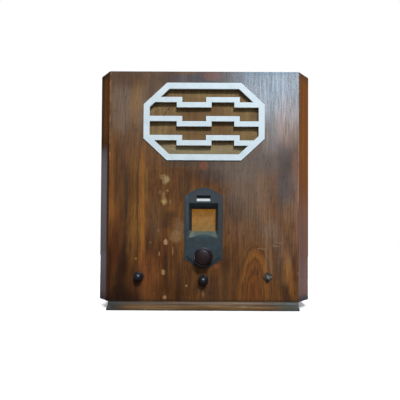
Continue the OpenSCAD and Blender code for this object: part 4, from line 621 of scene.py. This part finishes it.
plains = {
    "silverPaint": (["grille_fret"], {"tones": ["bfc6c8", "c7ced0", "cfd5d7"], "rough": (0.36, 0.52),
                    "stain": ("969c9c", 0.62, 0.75, 0.4), "speck": 1600, "depth": 0.00002}),
    "tuningBakelite": (["tuning_knob"], {"tones": ["120707", "1c0b0b", "2c100f"], "rough": (0.36, 0.44),
                       "cloud": 80, "depth": 0.00001, "gleam": 0.30,
                       # the top tint is a painted highlight on the knob's upper rim
                       "tintsAndPaintedLight": [("3c3b47", "z", 0.1070, 0.1150, 0.8)],
                       "paintedRimHighlight": ("8c8884", 0.0, 0.0973, 0.0163, 0.0007)}),
    "knobBakelite": (["volume_knob", "wave_knob"], {"tones": ["0b0c14", "10111b", "1d1416"],
                     "rough": (0.34, 0.44), "cloud": 120, "depth": 0.00001, "gleam": 0.6}),
    # its two tints are painted shade: dark under the slot's top lip, greyer along its lower edge
    "markerStrip": (["window_marker"], {"tones": ["cfcfc4", "dedfd6", "e6e7e0"], "rough": (0.4, 0.6),
                    "tintsAndPaintedLight": [("07090b", "z", 0.2036, 0.2056, 1.2), ("6c6f6a", "z", 0.2012, 0.1998, 0.7)]}),
    "rearBoard": (["rear_cover"], {"tones": ["3f2e20", "4f3b28", "5b4630"], "rough": (0.6, 0.8), "cloud": 40,
                  "speck": 1200, "stain": ("2b2017", 0.55, 0.7, 0.5), "depth": 0.0002}),
    "screwSteel": (["rear_cover_screws", "baffle_screws", "escutcheon_nuts"], {"tones": ["6b665f", "8b867d",
                   "a19b90"], "rough": (0.3, 0.5), "metal": 0.9, "stain": ("5b3f28", 0.55, 0.7, 0.6)}),
    "blackEnamel": (["speaker_basket", "magnet_pot"], {"tones": ["14151a", "1c1d22", "26272c"],
                    "rough": (0.28, 0.45), "stain": ("3a332b", 0.6, 0.72, 0.5)}),
    "chamois": (["speaker_surround"], {"tones": ["a58a5f", "b99d70", "c6ad83"], "rough": (0.85, 0.95),
                "speck": 1600, "depth": 0.0002}),
    "spiderPlate": (["speaker_spider", "valve_holders", "gang_insulators"], {"tones": ["4a2d18", "5e3a1f",
                    "704a2b"], "rough": (0.35, 0.5), "cloud": 70}),
    "conePaper": (["speaker_cone"], {"tones": ["2e2722", "3a322b", "463d34"], "rough": (0.85, 0.95),
                  "speck": 1100, "depth": 0.0002}),
    "copperWire": (["voice_coil"], {"tones": ["8b4a2a", "a65b33", "bd6d40"], "rough": (0.25, 0.4),
                   "metal": 0.9}),
    "coilWrap": (["field_coil"], {"tones": ["6a5230", "7b6139", "8b7146"], "rough": (0.55, 0.7),
                 "stain": ("3c2c1a", 0.55, 0.7, 0.5), "depth": 0.0002}),
    "laminations": (["output_transformer", "mains_transformer"], {"tones": ["2b2a2a", "38373a", "464547"],
                    "rough": (0.4, 0.6), "metal": 0.3, "stain": ("5b3a22", 0.56, 0.7, 0.55)}),
    "chassisPlate": (["chassis_deck", "chassis_front", "chassis_back", "dial_lamp_holder", "gang_frame"],
                     {"tones": ["7d7f7e", "939594", "a7a9a8"], "rough": (0.35, 0.55), "metal": 0.8,
                      "stain": ("6b5138", 0.57, 0.72, 0.5), "cloud": 35}),
    "boltSteel": (["chassis_bolts", "tuning_bush", "tone_spindle", "tuning_spindle",
                   "volume_spindle", "wave_spindle"], {"tones": ["77736b", "96928a", "aca89f"],
                  "rough": (0.28, 0.45), "metal": 0.9, "stain": ("6a4c2e", 0.6, 0.74, 0.5), "cloud": 140}),
    "darkNuts": (["control_nuts", "tone_control"], {
                 "tones": ["110d0a", "19130f", "332820", "67584b", "a69684", "c8beb0"], "rough": (0.3, 0.5),
                 "metal": 0.25, "cloud": 480, "stain": ("1c120b", 0.46, 0.60, 0.8), "dirt": 240}),
    "vaneMetal": (["gang_stators", "gang_rotor", "coil_cans"], {"tones": ["a3a6a8", "b5b8ba", "c4c7c9"],
                  "rough": (0.3, 0.48), "metal": 0.9, "stain": ("7b7568", 0.6, 0.75, 0.4)}),
    "discBrass": (["dial_disc"], {"tones": ["8b6a35", "a07d42", "b28f50"], "rough": (0.35, 0.5),
                  "metal": 0.85}),
    "controlCase": (["volume_control", "wave_switch"], {"tones": ["5f4426", "735532",
                    "86683f"], "rough": (0.35, 0.5), "metal": 0.2}),
    "valveBase": (["valve_bases"], {"tones": ["181112", "221718", "2c1e1d"], "rough": (0.2, 0.34)}),
    "socketBoard": (["socket_strips"], {"tones": ["472a17", "5b381f", "6b4628"], "rough": (0.4, 0.55)}),
    "grommetRubber": (["mains_grommet"], {"tones": ["191817", "222120", "2d2b29"], "rough": (0.7, 0.85),
                      "depth": 0.0001}),
    "waxedCard": (["chassis_parts"], {"tones": ["8d6c3d", "a3814d", "b5935d"], "rough": (0.4, 0.6),
                  "stain": ("5b4020", 0.55, 0.7, 0.5)}),
    "lampGlass": (["dial_lamp"], {"tones": ["b9b6ab", "cbc8bd", "d9d6cb"], "rough": (0.08, 0.15),
                  "alpha": 0.5}),
}
for name, (names, plan) in plains.items():
    dress(plain(name, plan), *names)

# Escutcheon: blue-black enamel, rubbed on the ridges, with painted highlights on the sill and the left ridge,
# and painted shade in the window recess and at its foot under the knob
escutcheon = {"tones": [(0.3, "21292c"), (0.5, "293336"), (0.7, "34383c")], "sill": (0.1325, 0.1450),
              "sillHalf": 0.0275, "sillRear": (-0.126, -0.124), "bowHalf": 0.022, "bowDrop": 0.005,
              "brightEnds": (0.015, 0.021), "ridge": 0.0308, "ridgeSoft": (0.0003, 0.0012),
              "leftFrom": (-0.02, 0.0), "blueAbove": (0.150, 0.165), "violetAbove": (0.186, 0.205),
              "dirtAndShadeBelow": (0.080, 0.090), "face": -0.1360, "recess": (0.0006, 0.010),
              "recessHalf": (0.0268, 0.0275), "shadeAbove": (0.140, 0.150), "rightFrom": (0.014, 0.027),
              "lowBelow": (0.17, 0.20), "rubbed": "54594d", "bright": "656b5e", "deepBlue": "2c3d42",
              "ridgeHighlight": "56697a", "violet": "38383d", "paintedShade": "121117", "dirtAndShade": "4c3b2e",
              "rightBrown": "2c2b2f", "lowBlue": "23404c"}


def escutcheonFinish(plan):
    finish = newFinish("slateEnamel")
    x, y, z = finish.axes()
    cloud = finish.noise(finish.where(), 90, 4, 0.6)
    speck = finish.noise(finish.where(), 1100, 3)
    mottle = finish.noise(finish.where(), 380, 3, 0.6)
    colour = finish.ramp(cloud * 0.45 + speck * 0.2 + mottle * 0.35, *plan["tones"])
    low, high = plan["sill"]
    edge = plan["sillHalf"]
    inSill = z.rise(low - 0.001, low + 0.001) * (1 - z.rise(high - 0.001, high + 0.002)) \
        * (1 - abs(x).rise(edge - 0.002, edge)) * (1 - y.rise(*plan["sillRear"]))
    bow = (x / plan["bowHalf"]) ** 2.0 * plan["bowDrop"]  # the painted highlight on the sill ends in a bow, further down at its ends
    upperSill = inSill * (z - low - plan["bowDrop"] + bow).rise(-0.001, 0.002)
    ridge = 1 - abs(abs(x) - plan["ridge"]).rise(*plan["ridgeSoft"])
    leftRidge = ridge * (1 - x.rise(*plan["leftFrom"])) * z.rise(*plan["blueAbove"])
    lowest = (1 - z.rise(*plan["dirtAndShadeBelow"])) * cloud.rise(0.40, 0.55)
    front, rear = plan["recess"]
    deep = y.rise(plan["face"] + front, plan["face"] + rear) * (1 - abs(x).rise(*plan["recessHalf"])) \
        * (1 - inSill) * z.rise(*plan["shadeAbove"])
    blue = finish.noise(finish.where(), 45, 2).rise(0.5, 0.7)
    colour = finish.tinted(
        # on the upper sill the rubbed tint and the bright tint at its ends are a painted highlight
        colour, (plan["deepBlue"], inSill * 0.6), (plan["rubbed"], upperSill * (0.5 + cloud * 0.7)),
        (plan["bright"], upperSill * abs(x).rise(*plan["brightEnds"]) * 0.7),
        # the blue tint on the left ridge is a painted highlight
        (plan["rubbed"], ridge * cloud.rise(0.35, 0.6) * 0.4), (plan["ridgeHighlight"], leftRidge * 0.6),
        # the brown tint at the foot is dirt, with painted shade under the knob
        (plan["violet"], z.rise(*plan["violetAbove"]) * mottle * 0.9), (plan["dirtAndShade"], lowest * 0.7),
        # the dark tint in the window recess is painted shade
        (plan["paintedShade"], deep * 0.75), (plan["rightBrown"], x.rise(*plan["rightFrom"]) * (0.3 + mottle * 0.5)),
        (plan["lowBlue"], blue * (1 - z.rise(*plan["lowBelow"])) * 0.4))
    return finish.surface({"Base Color": colour, "Roughness": cloud * 0.16 + 0.36, "Specular IOR Level": 0.35,
                           "Normal": finish.bump(speck * 0.5 + cloud, 0.00003)})


dress(escutcheonFinish(escutcheon), "dial_escutcheon")

# Window pane: clear, with dust all over and more of it at its foot
pane = {"foot": (0.142, 0.172), "dust": 0.16, "tones": [(0.3, "7c7450"), (0.7, "867c58")]}
windowPane = newFinish("windowPane")
atFoot = 1 - windowPane.axes()[2].rise(*pane["foot"])
paneDust = (windowPane.noise(windowPane.where(), 70, 4) + atFoot) * pane["dust"]
paneTint = windowPane.ramp(windowPane.noise(windowPane.where(), 40, 3), *pane["tones"])
dress(windowPane.surface({
    "Base Color": paneTint, "Roughness": windowPane.noise(windowPane.where(), 90, 3) * 0.15 + 0.06,
    "Alpha": paneDust}), "dial_window")


# Dial scale: amber celluloid with a painted glow that stands in for light, and a fine ring of lines about the
# shaft
dial = {"centre": (-0.032, 0.1603), "tones": [(0.3, "a35f08"), (0.5, "bd780c"), (0.7, "ce8d16")],
        "ink": "5b3e1c", "lines": 100, "lineWidth": 0.00035, "band": (0.0385, 0.0455),
        "longBand": (0.030, 0.0455), "circles": (0.0300, 0.0455), "paintedGlow": 0.44, "baseDimmed": 0.76}


def dialFinish(plan):
    finish = newFinish("dialScale")
    x, y, z = finish.axes()
    across = x - plan["centre"][0]
    up = z - plan["centre"][1]
    radius = (across ** 2.0 + up ** 2.0) ** 0.5
    turn = finish.node("Math", {"operation": "ARCTAN2"}, {0: up, 1: across}) / (2 * pi)
    cloud = finish.noise(finish.scaled(1, 1, 1), 120, 4, 0.65)
    grain = finish.noise(finish.scaled(1, 1, 1), 600, 3)
    colour = finish.ramp(cloud * 0.75 + grain * 0.25, *plan["tones"])
    ink = None
    for count, (low, high) in ((plan["lines"], plan["band"]), (plan["lines"] / 5, plan["longBand"])):
        part = finish.node("Math", {"operation": "FRACT"}, {0: turn * count + 1000.5})
        off = abs(part - 0.5) * radius * (2 * pi / count)  # distance from the nearest line
        mark = (1 - off.rise(plan["lineWidth"] * 0.3, plan["lineWidth"] * 0.8)) \
            * radius.rise(low - 0.0002, low) * (1 - radius.rise(high, high + 0.0002))
        ink = mark if ink is None else ink.largest(mark)
    for place in plan["circles"]:
        ink = ink.largest(1 - abs(radius - place).rise(0.0001, 0.0003))
    colour = finish.mix(colour, shade(plan["ink"]), ink * 0.55)
    unlit = finish.mix(colour, shade("000000"), plan["baseDimmed"])  # most of its colour is a painted glow
    return finish.surface({"Base Color": unlit, "Emission Color": colour,
                           "Emission Strength": plan["paintedGlow"], "Roughness": cloud * 0.2 + 0.3,
                           "Normal": finish.bump(cloud, 0.00003)})


dress(dialFinish(dial), "dial_scale")

# Valve glass: clear, with the silvery getter at the top
getter = {"from": 0.178, "to": 0.205}
valveGlass = newFinish("valveGlass")
glassZ = valveGlass.axes()[2]
smoke = valveGlass.noise(valveGlass.where(), 60, 3)
mirror = (glassZ + (smoke - 0.5) * 0.02).rise(getter["from"], getter["to"])
dress(valveGlass.surface({
    "Base Color": valveGlass.mix(shade("8b8f8c"), shade("9a9a9a"), mirror), "Metallic": mirror * 0.9,
    "Roughness": smoke * 0.1 + 0.06, "Alpha": mirror * 0.75 + 0.2}), "valve_bulbs")
print("metal, plastic and glass dressed")


# Grille cloth: woven, stretched over the hole, with old creases on the left
clothPlan = {
    "cells": (300, 200), "thickness": 0.0004, "billow": 0.0012, "pull": 0.00035,
    "opening": (0.1012, 0.0610), "corner": (0.681, 0.732, 0.0886), "edge": 0.012,
    "creases": [  # x and z at each end from the middle of the grille, height of the lips, width
        (-0.0650, 0.0300, -0.0680, 0.0225, 0.0016, 0.0013),
        (-0.0715, 0.0195, -0.0770, 0.0115, 0.0014, 0.0013),
        (-0.0990, 0.0140, -0.0700, 0.0290, 0.0009, 0.0025),
        (-0.0860, 0.0420, -0.0560, 0.0500, 0.0008, 0.0022),
        (0.0830, -0.0330, 0.0990, -0.0230, 0.0008, 0.0018),
        (-0.0780, -0.0440, -0.0300, -0.0560, 0.0006, 0.0030),
    ],
    "thread": 0.0009, "tones": [(0.3, "614729"), (0.45, "7c5f3a"), (0.6, "907247"), (0.75, "a28455")],
    "browned": "66401f", "paleEnds": "8e7448", "paleFoot": "a08f6c", "betweenThreads": "3c2615",
    "paintedShade": "1e120a", "brownHalf": (0.085, 0.060), "footBand": (-0.052, -0.034),
}


def segmentDistance(px, pz, ax, az, bx, bz):
    dx, dz = bx - ax, bz - az
    t = max(0.0, min(1.0, ((px - ax) * dx + (pz - az) * dz) / (dx * dx + dz * dz)))
    return ((px - ax - t * dx) ** 2 + (pz - az - t * dz) ** 2) ** 0.5, t


def clothBulge(px, pz, plan, seed):  # how far the cloth stands forward, from the grille's middle
    normalX, normalZ, reach = plan["corner"]
    inside = min(plan["opening"][0] - abs(px), plan["opening"][1] - abs(pz),
                 reach - normalX * abs(px) - normalZ * abs(pz))
    fade = max(0.0, min(1.0, inside / plan["edge"]))
    fade = fade * fade * (3 - 2 * fade)
    height = plan["billow"] * (0.6 + noise.noise(Vector((px * 22, pz * 30, seed))))
    height += plan["pull"] * (1 + noise.noise(Vector((px * 160, pz * 14, seed + 5))))
    for ax, az, bx, bz, lip, width in plan["creases"]:
        gap, t = segmentDistance(px, pz, ax, az, bx, bz)
        swell = 0.4 + 0.6 * sin(pi * min(max(t, 0.05), 0.95))
        lips, groove = exp(-(gap / (2.6 * width)) ** 2), exp(-(gap / (0.8 * width)) ** 2)
        height += lip * swell * (1.3 * lips - 1.5 * groove)
    return max(0.0, height) * fade


def makeCloth(plan):
    low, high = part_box("grille_cloth")
    across, up = plan["cells"]
    midX, midZ = (low[0] + high[0]) / 2, (low[2] + high[2]) / 2
    rest = high[1] - plan["thickness"]
    mesh = bmesh.new()
    rows = []
    for j in range(up + 1):
        z = low[2] + (high[2] - low[2]) * j / up
        row = []
        for i in range(across + 1):
            x = low[0] + (high[0] - low[0]) * i / across
            row.append(mesh.verts.new((x, rest - clothBulge(x - midX, z - midZ, plan, 3.7), z)))
        rows.append(row)
    for j in range(up):
        for i in range(across):
            mesh.faces.new((rows[j][i], rows[j][i + 1], rows[j + 1][i + 1], rows[j + 1][i]))
    data = bpy.data.meshes.new("grilleCloth")
    mesh.to_mesh(data)
    mesh.free()
    data.shade_smooth()
    piece = bpy.data.objects.new("grilleCloth", data)
    bpy.context.collection.objects.link(piece)
    sheetBody = piece.modifiers.new("sheetBody", "SOLIDIFY")
    sheetBody.thickness = plan["thickness"]
    sheetBody.offset = 0
    return piece, midX, midZ


def clothFinish(plan, midX, midZ):
    finish = newFinish("grilleClothWeave")
    x, y, z = finish.axes()
    turnsPerMetre = 2 * pi / plan["thread"]
    waves = [finish.node("Math", {"operation": "SINE"}, {0: spot * turnsPerMetre}) for spot in (x, z)]
    weave = waves[0] * waves[1]
    streaks = finish.noise(finish.scaled(150, 1, 9), 1.0, 4, 0.6)
    cloud = finish.noise(finish.scaled(26, 1, 34), 1.0, 3)
    colour = finish.ramp(streaks * 0.6 + cloud * 0.4, *plan["tones"])
    across, up = x - midX, z - midZ
    brownX, brownZ = plan["brownHalf"]
    away = ((across / brownX) ** 2.0 + (up / brownZ) ** 2.0) ** 0.5
    # dark tint along the first two creases: painted shade
    paintedShade = None
    for ax, az, bx, bz, lip, width in plan["creases"][:2]:
        slope, drop = (bx - ax) / (bz - az), abs(bz - az)
        alongCrease = up - (az + bz) / 2
        mask = 1 - abs(across - (ax + bx) / 2 - alongCrease * slope).rise(width * 0.3, width)
        mask = mask * (1 - abs(alongCrease).rise(drop * 0.4, drop * 0.65))
        paintedShade = mask if paintedShade is None else paintedShade.largest(mask)
    colour = finish.tinted(
        colour, (plan["browned"], (1 - away.rise(0.35, 1.05)) * 0.55),
        (plan["paleEnds"], away.rise(0.9, 1.25) * cloud.rise(0.45, 0.6) * 0.5),
        (plan["paleFoot"], (1 - up.rise(*plan["footBand"])) * 0.6),
        (plan["betweenThreads"], (1 - weave.rise(-0.9, 0.1)) * 0.35), (plan["paintedShade"], paintedShade * 0.75))
    return finish.surface({"Base Color": colour, "Roughness": streaks * 0.1 + 0.82, "Sheen Weight": 0.25,
                           "Specular IOR Level": 0.25, "Normal": finish.bump(weave + streaks, 0.00012)})


cloth, clothX, clothZ = makeCloth(clothPlan)
cloth.data.materials.append(clothFinish(clothPlan, clothX, clothZ))
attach(cloth, "cabinet")
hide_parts("grille_cloth")
print("grille cloth made")


# Inside the valves: a ribbed anode between two mica discs, on four wires
valvePlan = {"valves": 5, "anodeRadius": 0.0075, "anodeHeight": 0.028, "lift": 0.012, "mica": 0.0105,
             "micaThick": 0.0005, "micaBelow": 0.003, "micaAbove": 0.002, "wires": 4, "wire": 0.0006,
             "wireRing": 0.0088, "wireBelow": 0.004, "wireAbove": 0.005, "wireSides": 8,
             "ribs": 4, "ribDepth": 0.0012, "sides": 48}


def ring(mesh, x, y, z, radius, sides, ribs=0, depth=0.0):
    verts = []
    for k in range(sides):
        turn = 2 * pi * k / sides
        r = radius + (depth * max(0.0, cos(ribs * turn)) ** 8 if ribs else 0.0)
        verts.append(mesh.verts.new((x + r * cos(turn), y + r * sin(turn), z)))
    return verts


def bridge(mesh, first, second):
    count = len(first)
    for k in range(count):
        mesh.faces.new((first[k], first[(k + 1) % count], second[(k + 1) % count], second[k]))


def post(mesh, x, y, low, high, radius, sides, ribs=0, depth=0.0):
    foot = ring(mesh, x, y, low, radius, sides, ribs, depth)
    head = ring(mesh, x, y, high, radius, sides, ribs, depth)
    bridge(mesh, foot, head)
    mesh.faces.new(list(reversed(foot)))
    mesh.faces.new(head)


def makeValveInsides(plan):
    low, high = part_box("valve_bulbs")
    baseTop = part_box("valve_bases")[1][2]
    count = plan["valves"]
    radius = (high[1] - low[1]) / 2
    y = (low[1] + high[1]) / 2
    mesh = bmesh.new()
    for k in range(count):
        x = low[0] + radius + (high[0] - low[0] - 2 * radius) * k / (count - 1)
        foot = baseTop + plan["lift"]
        top = foot + plan["anodeHeight"]
        post(mesh, x, y, foot, top, plan["anodeRadius"], plan["sides"], plan["ribs"],
             plan["ribDepth"])
        for z in (foot - plan["micaBelow"], top + plan["micaAbove"]):
            post(mesh, x, y, z, z + plan["micaThick"], plan["mica"], plan["sides"])
        for q in range(plan["wires"]):
            turn = (q + 0.5) * 2 * pi / plan["wires"]
            wx, wy = x + plan["wireRing"] * cos(turn), y + plan["wireRing"] * sin(turn)
            post(mesh, wx, wy, baseTop - plan["wireBelow"], top + plan["wireAbove"], plan["wire"],
                 plan["wireSides"])
    data = bpy.data.meshes.new("valveInsides")
    mesh.to_mesh(data)
    mesh.free()
    piece = bpy.data.objects.new("valveInsides", data)
    bpy.context.collection.objects.link(piece)
    return piece


insides = makeValveInsides(valvePlan)
anodeMetal = {"tones": ["2f3032", "3d3e40", "4b4c4e"], "rough": (0.45, 0.6), "metal": 0.7}
insides.data.materials.append(plain("anodeMetal", anodeMetal))
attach(insides, "cabinet")
print("valve insides made")
